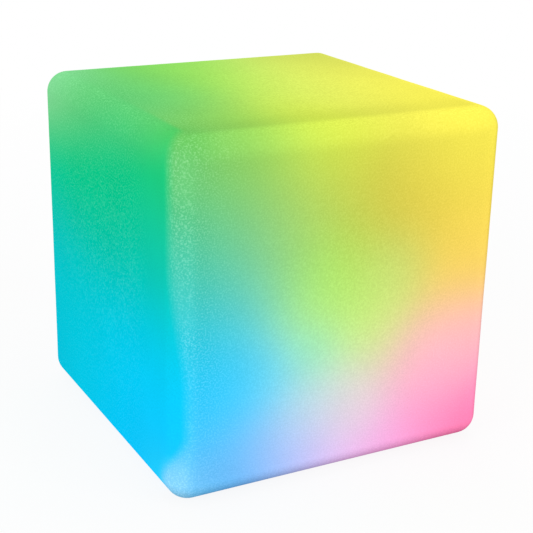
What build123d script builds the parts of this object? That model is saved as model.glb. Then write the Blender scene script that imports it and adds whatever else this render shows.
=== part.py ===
"""Glowing cube light for gardens: a rotomoulded plastic cube with a sealed, rechargeable light unit
screwed into a round recess in its base. Millimetres, +Z up, origin on the ground under the middle
of the cube, which stands on four rubber feet."""

from build123d import *
import os
from collections import namedtuple
from math import cos, hypot, pi, radians, sin, sqrt, tan

os.makedirs("parts", exist_ok=True)

# ---------------------------------------------------------------- driving dimensions
# Cube shell
cube_side = 300.0
edge_radius = 19.0
wall = 3.2
recess_depth = 14.0
recess_draft = 5.0
recess_lip = 3.0
insert_boss_wall = 3.5
insert_boss_height = 11.0
insert_boss_draft = 2.0

# Rubber feet
foot_radius = 9.0
foot_proud = 2.5
foot_sunk = 1.5
foot_inset = 38.0
foot_round = 0.8

# Screws and thread inserts
ScrewSize = namedtuple("ScrewSize", "shank_radius head_radius head_height drive_width")
m4 = ScrewSize(2.0, 3.8, 2.5, 4.2)
m3 = ScrewSize(1.25, 2.8, 2.0, 3.2)
m25 = ScrewSize(1.0, 2.2, 1.5, 2.4)
drive_slot = 0.8
drive_share = 0.55
head_edge_share = 0.35
base_screw_length = 12.0
dome_screw_length = 11.0
strap_screw_length = 8.0
board_screw_length = 6.0
led_screw_length = 3.6
insert_radius = 3.0
insert_length = 9.0
insert_groove_depth = 0.4
insert_groove_width = 1.8

# Base housing: a flanged tub that hangs the whole light unit in the cube
flange_thickness = 5.0
floor_thickness = 3.0
tub_wall = 2.6
tub_room = 4.2
opening_gap = 3.0
gasket_inset = 2.0
gasket_margin = 1.0
gasket_thickness = 1.5
base_screw_count = 6
screw_land = 8.5
flange_land = 8.5
seat_gap = 3.0
column_radius = 3.2
column_inset = 6.4
column_count = 4
rib_thickness = 1.6
housing_round = 1.5

# Battery: two round cells side by side in a cradle, held by a sprung strap
cell_radius = 9.2
cell_length = 65.2
cell_pitch = 19.0
cell_y = -18.0
cell_edge = 0.8
crimp_depth = 0.5
crimp_width = 1.2
crimp_inset = 4.0
cradle_floor = 1.5
cradle_wall = 1.4
cradle_end_wall = 2.0
cradle_corner = 4.0
nickel_thickness = 0.3
nickel_width = 8.0
nickel_tab_width = 4.0
nickel_tab_height = 6.5
strap_thickness = 0.8
strap_width = 10.0
strap_foot = 6.4

# Control board and what stands on it
board_length = 60.0
board_width = 36.0
board_y = 26.0
board_thickness = 1.6
board_corner = 3.0
board_hole_inset = 3.0
standoff_radius = 2.6
socket_height = 6.5
socket_depth = 5.8
battery_socket_width = 7.4
battery_socket_x, battery_socket_inset = 12.0, 5.0
led_socket_x, led_socket_inset = -14.0, 12.0
capacitor_radius = 3.1
capacitor_height = 6.0
capacitor_edge = 0.5
capacitor_inset = 6.0
capacitor_pitch = 8.0
chip_row = 7.0
chip_gap = 2.0
chip_length, chip_width, chip_height = 5.0, 4.0, 1.5
controller_x, controller_length = -3.0, 10.0
driver_x, driver_row = 2.0, 8.0
transistor_side, transistor_height, transistor_pitch = 3.0, 1.1, 5.0
inductor_side, inductor_height = 7.0, 4.0
socket_end = 1.7
indicator_led_length, indicator_led_width, indicator_led_height = 3.2, 1.6, 1.2

# Light engine above the tub
lead_room = 3.9
deck_thickness = 2.5
led_board_gap = 4.5
led_board_thickness = 1.6
led_size = 5.0
led_height = 1.6
led_lens_radius = 2.1
led_lens_depth = 0.5
outer_ring_inset = 9.0
outer_ring_count = 12
inner_ring_radius = 17.0
inner_ring_count = 6
led_screw_inset = 3.6
led_screw_count = 3
led_plug_width = 8.4
led_plug_depth = 4.6
led_plug_height = 3.0
receiver_width = 6.4
receiver_depth = 5.4
receiver_height = 5.0
receiver_lens_radius = 2.4
receiver_corner = 0.6
dome_height = 21.0
dome_wall = 2.0
dome_flange = 2.5
dome_skirt_inset = 3.5
seal_width = 1.5
seal_height = 1.0

# Leads
battery_lead_radius = 0.8
battery_lead_bend = 4.8
battery_lead_pitch = 2.8
led_lead_radius = 0.7
led_lead_bend = 2.0
led_lead_pitch = 2.0

# Charging jack and its rubber cap
jack_x, jack_y = 17.0, 25.0
jack_barrel_radius = 4.0
jack_bore_radius = 2.75
jack_bore_depth = 9.5
jack_back = 4.1
jack_flange_radius = 6.0
jack_flange_thickness = 1.0
jack_pin_radius = 1.05
jack_pin_setback = 1.6
jack_nut_flats = 11.0
jack_nut_thickness = 2.2
jack_seal_overhang = 0.5
jack_seal_thickness = 0.6
solder_pin_radius = 0.6
solder_pin_pitch = 2.6
solder_pin_length = 4.0
solder_pin_end = 1.0
cap_radius = 7.5
cap_thickness = 2.2
cap_flush = 0.2
cap_plug_radius = 2.2
cap_plug_bore = 1.5
cap_plug_length = 2.5
cap_strap_thickness = 1.2
cap_strap_width = 5.0
cap_hinge_distance = 13.0
cap_hinge_gap = 0.4
cap_tab_reach = 3.5
cap_tab_width = 6.0
cap_tab_corner = 2.0
anchor_reach = 5.0
anchor_radius = 3.0
anchor_peg_radius = 1.4
anchor_barb_radius = 2.1
anchor_barb_height = 2.0
anchor_barb_taper = 20.0
pocket_margin = 0.8
pocket_wall = 2.2
pocket_floor = 2.5

# Power button, its boot and its switch
button_x, button_y = -18.0, 25.0
button_radius = 7.0
button_travel = 1.2
button_flush = 0.2
button_edge = 0.8
button_lip = 1.6
button_lip_thickness = 1.0
button_stem_radius = 2.5
button_stem_length = 4.2
button_dish_radius = 12.0
button_dish_depth = 1.2
button_dish_taper = 35.0
collar_wall = 2.0
collar_height = 4.0
boot_wall = 1.2
boot_foot = 0.8
boot_skirt = 2.2
boot_hub_radius = 3.4
switch_size = 8.5
switch_height = 4.2
switch_back = 0.8
switch_corner = 0.5
plunger_size = 3.0

# Indicator window
indicator_x, indicator_inset = -2.0, 4.0
indicator_radius = 1.5
indicator_flange = 1.1

# Named clearances
running = 0.3
loose = 0.4
slip = 0.1
thread = 0.05
soldered = 0.15

# ---------------------------------------------------------------- sizes that the pieces share
# Levels, from the ground up
shell_bottom = foot_proud
seat_z = shell_bottom + recess_depth
flange_top = seat_z - gasket_thickness
underside = flange_top - flange_thickness
floor_z = underside + floor_thickness
cell_z = floor_z + cradle_floor + cell_radius + slip
jack_mouth = underside + cap_flush + cap_thickness
jack_back_z = jack_mouth + jack_bore_depth + jack_back
board_z = jack_back_z + solder_pin_length
board_top = board_z + board_thickness
deck_z = board_top + socket_height + lead_room
rim_z = deck_z + deck_thickness
led_z = rim_z + led_board_thickness
dome_flange_z = rim_z + dome_flange

# Radii, from the contents of the tub outwards
half_cell = cell_length / 2
half_board = board_length / 2
cell_grip = cell_radius + slip
end_wall_inside = half_cell + nickel_thickness + running
cradle_half_length = end_wall_inside + cradle_end_wall
cradle_half_width = cell_pitch / 2 + cell_grip + cradle_wall
cradle_reach = hypot(cradle_half_length, abs(cell_y) + cradle_half_width)
board_reach = hypot(half_board, board_y + board_width / 2) - board_corner / 2
tub_bore = max(cradle_reach, board_reach) + tub_room
tub_radius = tub_bore + tub_wall
opening_radius = tub_radius + opening_gap
base_screw_circle = opening_radius + screw_land
flange_radius = base_screw_circle + flange_land
seat_radius = flange_radius + seat_gap
mouth_radius = seat_radius + recess_depth * tan(radians(recess_draft))
column_circle = tub_bore - column_inset
dome_skirt_radius = column_circle - dome_skirt_inset
led_board_radius = dome_skirt_radius - led_board_gap
outer_ring_radius = led_board_radius - outer_ring_inset


def ring_points(radius, count):
    """Points evenly spaced on a circle round the cube's axis, the first on +X."""
    turns = [radians(360 * step / count) for step in range(count)]
    return [(radius * cos(turn), radius * sin(turn)) for turn in turns]


# Places that more than one piece keeps to
foot_reach = cube_side / 2 - foot_inset
foot_points = [(x, y) for x in (-foot_reach, foot_reach) for y in (-foot_reach, foot_reach)]
base_screw_points = ring_points(base_screw_circle, base_screw_count)
column_points = ring_points(column_circle, column_count)
led_screw_points = ring_points(led_board_radius - led_screw_inset, led_screw_count)
strap_reach = cradle_half_width + strap_foot / 2
strap_points = [(0, cell_y - strap_reach), (0, cell_y + strap_reach)]
hole_x = half_board - board_hole_inset
hole_y = board_width / 2 - board_hole_inset
standoff_points = [(x, board_y + y) for x in (-hole_x, hole_x) for y in (-hole_y, hole_y)]
solder_pins = [(jack_x + x, jack_y + y) for x, y in ((0, 0), (solder_pin_pitch, 0), (0, solder_pin_pitch))]
anchor_x = jack_x + cap_hinge_distance + anchor_reach
board_edge = board_y - board_width / 2
battery_socket_y = board_edge + battery_socket_inset
led_socket_y = board_edge + led_socket_inset
indicator_y = board_y + board_width / 2 - indicator_inset
capacitor_x = half_board - capacitor_inset
charger_x = controller_x + (controller_length + chip_length) / 2 + chip_gap
inductor_x = charger_x + (chip_length + inductor_side) / 2 + chip_gap
transistor_x = controller_x - controller_length / 2 - transistor_pitch


def save(piece, name):
    """Label a finished piece and write it as the STEP file of its node."""
    piece.part.label = name
    export_step(piece.part, f"parts/{name}.step")


# ---------------------------------------------------------------- cube shell
def shell_cavity():
    """The hollow inside the shell: it follows the outside at one wall's depth, as in rotomoulding."""
    inner_side = cube_side - 2 * wall
    with BuildPart() as cavity:
        with Locations((0, 0, shell_bottom + wall)):
            Box(inner_side, inner_side, inner_side, align=(Align.CENTER, Align.CENTER, Align.MIN))
        fillet(cavity.edges(), edge_radius - wall)
        # the recess rises into the hollow as a pan
        with BuildSketch(Plane.XY.offset(shell_bottom)):
            Circle(mouth_radius + wall)
        extrude(amount=recess_depth + wall, taper=recess_draft, mode=Mode.SUBTRACT)
        # solid bosses over the thread inserts
        with BuildSketch(Plane.XY.offset(seat_z)):
            with Locations(*base_screw_points):
                Circle(insert_radius + insert_boss_wall)
        extrude(amount=insert_boss_height, taper=insert_boss_draft, mode=Mode.SUBTRACT)
        # the wall bulges inwards over each foot pocket
        with BuildSketch(Plane.XY.offset(shell_bottom)):
            with Locations(*foot_points):
                Circle(foot_radius + wall)
        extrude(amount=foot_sunk + wall, mode=Mode.SUBTRACT)
    return cavity.part


with BuildPart() as cube_shell:
    with Locations((0, 0, shell_bottom)):
        Box(cube_side, cube_side, cube_side, align=(Align.CENTER, Align.CENTER, Align.MIN))
    fillet(cube_shell.edges(), edge_radius)
    # the round recess that the light unit is screwed into, with a rounded mouth
    with BuildSketch(Plane.XY.offset(shell_bottom)):
        Circle(mouth_radius)
    extrude(amount=recess_depth, taper=recess_draft, mode=Mode.SUBTRACT)
    rims = cube_shell.edges().filter_by(GeomType.CIRCLE)
    fillet(rims.filter_by(lambda edge: abs(edge.radius - mouth_radius) < slip), recess_lip)
    add(shell_cavity(), mode=Mode.SUBTRACT)
    with BuildSketch(Plane.XY.offset(shell_bottom)):
        with Locations(*foot_points):
            Circle(foot_radius + slip)
    extrude(amount=foot_sunk, mode=Mode.SUBTRACT)
    with BuildSketch(Plane.XY.offset(seat_z)):
        Circle(opening_radius)
    extrude(amount=wall, mode=Mode.SUBTRACT)
    with BuildSketch(Plane.XY.offset(seat_z)):
        with Locations(*base_screw_points):
            Circle(insert_radius + thread)
    extrude(amount=insert_length + slip, mode=Mode.SUBTRACT)
save(cube_shell, "cube_shell")

# ---------------------------------------------------------------- rubber feet
with BuildPart() as rubber_feet:
    with BuildSketch():
        with Locations(*foot_points):
            Circle(foot_radius)
    extrude(amount=foot_proud + foot_sunk)
    fillet(rubber_feet.edges().group_by(Axis.Z)[0], foot_round)
save(rubber_feet, "rubber_feet")

# ---------------------------------------------------------------- brass thread inserts
with BuildPart() as one_insert:
    with BuildSketch(Plane.XY.offset(seat_z)):
        Circle(insert_radius)
    extrude(amount=insert_length)
    # the groove that the plastic grips
    with BuildSketch(Plane.XY.offset(seat_z + (insert_length - insert_groove_width) / 2)):
        Circle(insert_radius)
        Circle(insert_radius - insert_groove_depth, mode=Mode.SUBTRACT)
    extrude(amount=insert_groove_width, mode=Mode.SUBTRACT)
    with BuildSketch(Plane.XY.offset(seat_z)):
        Circle(m4.shank_radius + thread)
    extrude(amount=insert_length, mode=Mode.SUBTRACT)

with BuildPart() as thread_inserts:
    with Locations(*base_screw_points):
        add(one_insert.part)
save(thread_inserts, "thread_inserts")


# ---------------------------------------------------------------- screws
def pan_screw(size, length):
    """A pan-head screw standing on its seat at z = 0, shank up, with a cross drive in its head."""
    with BuildPart() as screw:
        with BuildSketch():
            Circle(size.shank_radius)
        extrude(amount=length)
        with BuildSketch():
            Circle(size.head_radius)
        extrude(amount=-size.head_height)
        chamfer(screw.edges().group_by(Axis.Z)[0], head_edge_share * size.head_height)
        with BuildSketch(Plane.XY.offset(-size.head_height)):
            Rectangle(size.drive_width, drive_slot)
            Rectangle(drive_slot, size.drive_width)
        extrude(amount=drive_share * size.head_height, mode=Mode.SUBTRACT)
    return screw.part


def screws(name, size, length, points, seat, upwards=False):
    """A set of like screws in one node, driven down or up from their seat's level."""
    turn = (0, 0, 0) if upwards else (180, 0, 0)
    screw = pan_screw(size, length)
    with BuildPart() as screw_set:
        with Locations(*[Location((x, y, seat), turn) for x, y in points]):
            add(screw)
    save(screw_set, name)


# ---------------------------------------------------------------- base housing
counter_bore_depth = m4.head_height + slip
pocket_top = jack_mouth + jack_flange_thickness + jack_seal_thickness
pad_top = pocket_top + pocket_floor
collar_radius = button_radius + running + collar_wall
collar_top = floor_z + collar_height


def tub_profile():
    """Half section of the flange, floor and tub wall, turned round the cube's axis."""
    with BuildSketch(Plane.XZ) as profile:
        with BuildLine():
            Polyline(
                (0, underside),
                (flange_radius, underside),
                (flange_radius, flange_top),
                (tub_radius, flange_top),
                (tub_radius, rim_z),
                (tub_bore, rim_z),
                (tub_bore, floor_z),
                (0, floor_z),
                close=True,
            )
        make_face()
        for corner in ((flange_radius, underside), (tub_radius, flange_top), (tub_bore, floor_z)):
            fillet(profile.vertices().sort_by_distance(corner)[0], housing_round)
    return profile.sketch


def cap_pocket(margin):
    """Outline of the pocket that the charging cap lies in, grown by a margin."""
    tab_end = cap_radius + cap_tab_reach + running + margin
    strap_end = cap_hinge_distance + anchor_reach + anchor_radius + running + margin
    with BuildSketch() as outline:
        with Locations((jack_x, jack_y)):
            Circle(cap_radius + pocket_margin + margin)
            with Locations((strap_end / 2, 0)):
                Rectangle(strap_end, 2 * (anchor_radius + running + margin))
            with Locations((-tab_end / 2, 0)):
                Rectangle(tab_end, cap_tab_width + 2 * (pocket_margin + margin))
    return outline.sketch


with BuildPart() as base_housing:
    add(tub_profile())
    revolve(axis=Axis.Z)
    # columns that carry the deck, each tied to the tub wall by a rib
    with BuildSketch(Plane.XY.offset(floor_z)):
        with Locations(*column_points):
            Circle(column_radius)
        with PolarLocations(column_circle + column_inset / 2 + slip, column_count):
            Rectangle(column_inset, rib_thickness)
    extrude(amount=deck_z - floor_z)
    # standoffs for the control board and bosses for the cell strap
    with BuildSketch(Plane.XY.offset(floor_z)):
        with Locations(*standoff_points):
            Circle(standoff_radius)
    extrude(amount=board_z - floor_z)
    with BuildSketch(Plane.XY.offset(floor_z)):
        with Locations(*strap_points):
            Circle(strap_foot / 2 - slip)
    extrude(amount=cell_z - floor_z)
    # collar that guides the button, and a thick pad round the jack and its cap
    with BuildSketch(Plane.XY.offset(floor_z)):
        with Locations((button_x, button_y)):
            Circle(collar_radius)
    extrude(amount=collar_height)
    with BuildSketch(Plane.XY.offset(floor_z)):
        add(cap_pocket(pocket_wall))
    extrude(amount=pad_top - floor_z)
    # pocket for the charging cap, deep round the jack and shallow under the strap
    with BuildSketch(Plane.XY.offset(underside)):
        with Locations((jack_x, jack_y)):
            Circle(cap_radius + pocket_margin)
    extrude(amount=pocket_top - underside, mode=Mode.SUBTRACT)
    with BuildSketch(Plane.XY.offset(underside)):
        add(cap_pocket(0))
    extrude(amount=jack_mouth + slip - underside, mode=Mode.SUBTRACT)
    # dished well for a fingertip round the button
    with BuildSketch(Plane.XY.offset(underside)):
        with Locations((button_x, button_y)):
            Circle(button_dish_radius)
    extrude(amount=button_dish_depth, taper=button_dish_taper, mode=Mode.SUBTRACT)
    # through holes: button, jack barrel, anchor peg, indicator window
    with BuildSketch(Plane.XY.offset(underside)):
        with Locations((button_x, button_y)):
            Circle(button_radius + running)
        with Locations((jack_x, jack_y)):
            Circle(jack_barrel_radius + slip)
        with Locations((anchor_x, jack_y)):
            Circle(anchor_peg_radius + slip)
        with Locations((indicator_x, indicator_y)):
            Circle(indicator_radius + slip)
    extrude(amount=board_z - underside, mode=Mode.SUBTRACT)
    # counterbored holes for the flange screws, open downwards
    with Locations(*[Location((x, y, underside), (180, 0, 0)) for x, y in base_screw_points]):
        CounterBoreHole(
            radius=m4.shank_radius + slip,
            counter_bore_radius=m4.head_radius + loose,
            counter_bore_depth=counter_bore_depth,
            depth=flange_thickness,
        )
    # pilot holes for the screws that come from above
    with Locations(*[(x, y, deck_z) for x, y in column_points]):
        Hole(m3.shank_radius + thread, depth=dome_screw_length - deck_thickness)
    with Locations(*[(x, y, board_z) for x, y in standoff_points]):
        Hole(m25.shank_radius + thread, depth=board_screw_length)
    with Locations(*[(x, y, cell_z) for x, y in strap_points]):
        Hole(m3.shank_radius + thread, depth=strap_screw_length)
save(base_housing, "base_housing")

# ---------------------------------------------------------------- base gasket and base screws
with BuildPart() as base_gasket:
    with BuildSketch(Plane.XY.offset(flange_top)):
        Circle(flange_radius - gasket_margin)
        Circle(opening_radius + gasket_inset, mode=Mode.SUBTRACT)
        with Locations(*base_screw_points):
            Circle(m4.shank_radius + loose, mode=Mode.SUBTRACT)
    extrude(amount=gasket_thickness)
save(base_gasket, "base_gasket")

screws("base_screws", m4, base_screw_length, base_screw_points, underside + counter_bore_depth, upwards=True)

# ---------------------------------------------------------------- battery cells in their cradle
cell_places = [(y, cell_z) for y in (cell_y - cell_pitch / 2, cell_y + cell_pitch / 2)]

with BuildPart() as cell_cradle:
    with BuildSketch(Plane.XY.offset(floor_z)):
        with Locations((0, cell_y)):
            RectangleRounded(2 * cradle_half_length, 2 * cradle_half_width, cradle_corner)
    extrude(amount=cell_z - floor_z)
    # two round troughs, open between the end walls
    with BuildSketch(Plane.YZ.offset(-end_wall_inside)):
        with Locations(*cell_places):
            Circle(cell_grip)
    extrude(amount=2 * end_wall_inside, mode=Mode.SUBTRACT)
    # the ridge between the cells stops short of the nickel strips
    for end in (-1, 1):
        with BuildSketch(Plane.YZ.offset(end * half_cell)):
            with Locations((cell_y, cell_z)):
                Rectangle(cell_pitch, nickel_width + 2 * running)
        extrude(amount=end * (end_wall_inside - half_cell), mode=Mode.SUBTRACT)
save(cell_cradle, "cell_cradle")

with BuildPart() as battery_cells:
    with BuildSketch(Plane.YZ.offset(-half_cell)):
        with Locations(*cell_places):
            Circle(cell_radius)
    extrude(amount=cell_length)
    chamfer(battery_cells.edges().filter_by(GeomType.CIRCLE), cell_edge)
    # the rolled groove near the positive end
    with BuildSketch(Plane.YZ.offset(half_cell - crimp_inset)):
        with Locations(*cell_places):
            Circle(cell_radius)
            Circle(cell_radius - crimp_depth, mode=Mode.SUBTRACT)
    extrude(amount=crimp_width, mode=Mode.SUBTRACT)
save(battery_cells, "battery_cells")

with BuildPart() as nickel_strips:
    for end in (-1, 1):
        with BuildSketch(Plane.YZ.offset(end * half_cell)):
            with Locations((cell_y, cell_z)):
                SlotCenterToCenter(cell_pitch, nickel_width)
                # a tab stands up to take the lead
                Rectangle(nickel_tab_width, nickel_tab_height, align=(Align.CENTER, Align.MIN))
        extrude(amount=end * nickel_thickness)
save(nickel_strips, "nickel_strips")

with BuildPart() as cell_strap:
    crown = 2 * (cell_grip + strap_thickness)
    foot_length = strap_reach + strap_foot / 2 - cell_pitch / 2 - cell_grip
    with BuildSketch(Plane.YZ.offset(-strap_width / 2)):
        with Locations((cell_y, cell_z)):
            SlotCenterToCenter(cell_pitch, crown)
            SlotCenterToCenter(cell_pitch, 2 * cell_grip, mode=Mode.SUBTRACT)
            # only the upper half wraps the cells
            Rectangle(cell_pitch + crown, crown, align=(Align.CENTER, Align.MAX), mode=Mode.SUBTRACT)
        with Locations((cell_y + cell_pitch / 2 + cell_grip, cell_z)):
            Rectangle(foot_length, strap_thickness, align=(Align.MIN, Align.MIN))
        with Locations((cell_y - cell_pitch / 2 - cell_grip, cell_z)):
            Rectangle(foot_length, strap_thickness, align=(Align.MAX, Align.MIN))
    extrude(amount=strap_width)
    with Locations(*[(x, y, cell_z + strap_thickness) for x, y in strap_points]):
        Hole(m3.shank_radius + loose, depth=strap_thickness)
save(cell_strap, "cell_strap")

screws("strap_screws", m3, strap_screw_length, strap_points, cell_z + strap_thickness)

# ---------------------------------------------------------------- control board and its parts
with BuildPart() as control_board:
    with BuildSketch(Plane.XY.offset(board_z)):
        with Locations((0, board_y)):
            RectangleRounded(board_length, board_width, board_corner)
        with Locations(*standoff_points):
            Circle(m25.shank_radius + slip, mode=Mode.SUBTRACT)
        with Locations(*solder_pins):
            Circle(solder_pin_radius + soldered, mode=Mode.SUBTRACT)
    extrude(amount=board_thickness)
save(control_board, "control_board")

screws("board_screws", m25, board_screw_length, standoff_points, board_top)


def board_blocks(name, level, blocks):
    """Square-cut parts on a board, each as (x, y, length, width, height); below it if negative."""
    with BuildPart() as parts:
        for x, y, length, width, height in blocks:
            with BuildSketch(Plane.XY.offset(level)):
                with Locations((x, y)):
                    Rectangle(length, width)
            extrude(amount=height)
    save(parts, name)


# controller, charger, the driver of the lights and two output transistors
transistor = (transistor_side, transistor_side, transistor_height)
board_blocks(
    "control_chips",
    board_top,
    [
        (controller_x, board_y + chip_row, controller_length, chip_width, chip_height),
        (charger_x, board_y + chip_row, chip_length, chip_width, chip_height),
        (driver_x, board_y - driver_row, chip_length, chip_width, chip_height),
        (transistor_x, board_y + chip_row, *transistor),
        (transistor_x - transistor_pitch, board_y + chip_row, *transistor),
    ],
)
inductor_y = board_y + chip_row + (inductor_side - chip_width) / 2
board_blocks(
    "power_inductor",
    board_top,
    [(inductor_x, inductor_y, inductor_side, inductor_side, inductor_height)],
)
led_socket_width = 2 * (led_lead_pitch + led_lead_radius + socket_end)
board_blocks(
    "lead_sockets",
    board_top,
    [
        (battery_socket_x, battery_socket_y, battery_socket_width, socket_depth, socket_height),
        (led_socket_x, led_socket_y, led_socket_width, socket_depth, socket_height),
    ],
)
board_blocks(
    "indicator_led",
    board_z,
    [(indicator_x, indicator_y, indicator_led_length, indicator_led_width, -indicator_led_height)],
)

with BuildPart() as capacitors:
    with BuildSketch(Plane.XY.offset(board_top)):
        with Locations(
            (-capacitor_x, board_y),
            (-capacitor_x, board_y - capacitor_pitch),
            (capacitor_x, board_y + capacitor_pitch / 2),
        ):
            Circle(capacitor_radius)
    extrude(amount=capacitor_height)
    chamfer(capacitors.edges().group_by(Axis.Z)[-1], capacitor_edge)
save(capacitors, "capacitors")

# ---------------------------------------------------------------- deck and light board
lead_slot = (2 * led_lead_pitch + 4 * led_lead_radius, 4 * led_lead_radius)

with BuildPart() as deck:
    with BuildSketch(Plane.XY.offset(deck_z)):
        Circle(tub_bore - running)
        with Locations(*column_points):
            Circle(m3.shank_radius + loose, mode=Mode.SUBTRACT)
        with Locations((led_socket_x, led_socket_y)):
            SlotOverall(*lead_slot, mode=Mode.SUBTRACT)
        with Locations(*led_screw_points):
            Circle(m25.shank_radius + thread, mode=Mode.SUBTRACT)
    extrude(amount=deck_thickness)
save(deck, "deck")

with BuildPart() as led_board:
    with BuildSketch(Plane.XY.offset(rim_z)):
        Circle(led_board_radius)
        with Locations((led_socket_x, led_socket_y)):
            SlotOverall(*lead_slot, mode=Mode.SUBTRACT)
        with Locations(*led_screw_points):
            Circle(m25.shank_radius + slip, mode=Mode.SUBTRACT)
    extrude(amount=led_board_thickness)
save(led_board, "led_board")

screws("led_board_screws", m25, led_screw_length, led_screw_points, led_z)

with BuildPart() as leds:
    half_step = 180 / outer_ring_count
    with BuildSketch(Plane.XY.offset(led_z)):
        with PolarLocations(outer_ring_radius, outer_ring_count, start_angle=half_step):
            Rectangle(led_size, led_size)
        with PolarLocations(inner_ring_radius, inner_ring_count):
            Rectangle(led_size, led_size)
    extrude(amount=led_height)
    # the round well that holds each package's lens
    with BuildSketch(Plane.XY.offset(led_z + led_height)):
        with PolarLocations(outer_ring_radius, outer_ring_count, start_angle=half_step):
            Circle(led_lens_radius)
        with PolarLocations(inner_ring_radius, inner_ring_count):
            Circle(led_lens_radius)
    extrude(amount=-led_lens_depth, mode=Mode.SUBTRACT)
save(leds, "leds")

with BuildPart() as remote_receiver:
    with BuildSketch(Plane.XY.offset(led_z)):
        Rectangle(receiver_width, receiver_depth)
    extrude(amount=receiver_height)
    chamfer(remote_receiver.edges().filter_by(Axis.Z), receiver_corner)
    # the round lens on its top
    with Locations((0, 0, led_z + receiver_height)):
        Sphere(receiver_lens_radius)
save(remote_receiver, "remote_receiver")

led_plug_y = led_socket_y + 2 * led_lead_radius + led_plug_depth / 2 + led_lead_bend / 2
board_blocks(
    "led_socket",
    led_z,
    [(led_socket_x, led_plug_y, led_plug_width, led_plug_depth, led_plug_height)],
)

# ---------------------------------------------------------------- clear dome, its seal and screws
dome_curve = (dome_skirt_radius**2 + dome_height**2) / (2 * dome_height)
dome_centre = dome_flange_z + dome_height - dome_curve
seal_radius = tub_radius - tub_wall / 2


def on_dome(radius, level):
    """Point of a dome's circle at a level, as (distance from the axis, height)."""
    return (sqrt(radius**2 - (level - dome_centre) ** 2), level)


with BuildPart() as light_dome:
    inner_curve = dome_curve - dome_wall
    half_way = dome_flange_z + dome_height / 2
    skirt = (dome_skirt_radius, dome_flange_z)
    crown = (0, dome_centre + dome_curve)
    ceiling = (0, dome_centre + inner_curve)
    foot = on_dome(inner_curve, rim_z)
    with BuildSketch(Plane.XZ):
        with BuildLine():
            Polyline(foot, (tub_radius, rim_z), (tub_radius, dome_flange_z), skirt)
            ThreePointArc(skirt, on_dome(dome_curve, half_way), crown)
            Line(crown, ceiling)
            ThreePointArc(ceiling, on_dome(inner_curve, half_way), foot)
        make_face()
    revolve(axis=Axis.Z)
    # groove for the seal
    with BuildSketch(Plane.XY.offset(rim_z)):
        Circle(seal_radius + seal_width / 2 + thread)
        Circle(seal_radius - seal_width / 2 - thread, mode=Mode.SUBTRACT)
    extrude(amount=seal_height, mode=Mode.SUBTRACT)
    with Locations(*[(x, y, dome_flange_z) for x, y in column_points]):
        Hole(m3.shank_radius + loose, depth=dome_flange)
save(light_dome, "light_dome")

with BuildPart() as dome_seal:
    with BuildSketch(Plane.XY.offset(rim_z)):
        Circle(seal_radius + seal_width / 2)
        Circle(seal_radius - seal_width / 2, mode=Mode.SUBTRACT)
    extrude(amount=seal_height)
save(dome_seal, "dome_seal")

screws("dome_screws", m3, dome_screw_length, column_points, dome_flange_z)

# ---------------------------------------------------------------- charging jack
pin_base = jack_mouth + jack_bore_depth

with BuildPart() as charge_jack:
    with BuildSketch(Plane.XY.offset(jack_mouth)):
        with Locations((jack_x, jack_y)):
            Circle(jack_flange_radius)
    extrude(amount=jack_flange_thickness)
    with BuildSketch(Plane.XY.offset(jack_mouth)):
        with Locations((jack_x, jack_y)):
            Circle(jack_barrel_radius)
    extrude(amount=jack_back_z - jack_mouth)
    with BuildSketch(Plane.XY.offset(jack_mouth)):
        with Locations((jack_x, jack_y)):
            Circle(jack_bore_radius)
    extrude(amount=jack_bore_depth, mode=Mode.SUBTRACT)
    # ways through its back for the contacts
    with BuildSketch(Plane.XY.offset(pin_base)):
        with Locations(*solder_pins):
            Circle(solder_pin_radius + thread)
    extrude(amount=jack_back, mode=Mode.SUBTRACT)
save(charge_jack, "charge_jack")

with BuildPart() as jack_contacts:
    with BuildSketch(Plane.XY.offset(pin_base)):
        with Locations(*solder_pins):
            Circle(solder_pin_radius)
    extrude(amount=board_top + solder_pin_end - pin_base)
    # the centre pin that the plug slides over
    with BuildSketch(Plane.XY.offset(jack_mouth + jack_pin_setback)):
        with Locations((jack_x, jack_y)):
            Circle(jack_pin_radius)
    extrude(amount=jack_bore_depth - jack_pin_setback)
save(jack_contacts, "jack_contacts")

with BuildPart() as jack_seal:
    with BuildSketch(Plane.XY.offset(jack_mouth + jack_flange_thickness)):
        with Locations((jack_x, jack_y)):
            Circle(jack_flange_radius + jack_seal_overhang)
            Circle(jack_barrel_radius + slip, mode=Mode.SUBTRACT)
    extrude(amount=jack_seal_thickness)
save(jack_seal, "jack_seal")

with BuildPart() as jack_nut:
    with BuildSketch(Plane.XY.offset(pad_top)):
        with Locations((jack_x, jack_y)):
            RegularPolygon(jack_nut_flats / 2, 6, major_radius=False)
            Circle(jack_barrel_radius + thread, mode=Mode.SUBTRACT)
    extrude(amount=jack_nut_thickness)
save(jack_nut, "jack_nut")

# ---------------------------------------------------------------- rubber charging cap
hinge_x = jack_x + cap_hinge_distance
strap_low = jack_mouth - cap_strap_thickness
hinge_z = jack_mouth - cap_strap_thickness / 2

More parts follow.
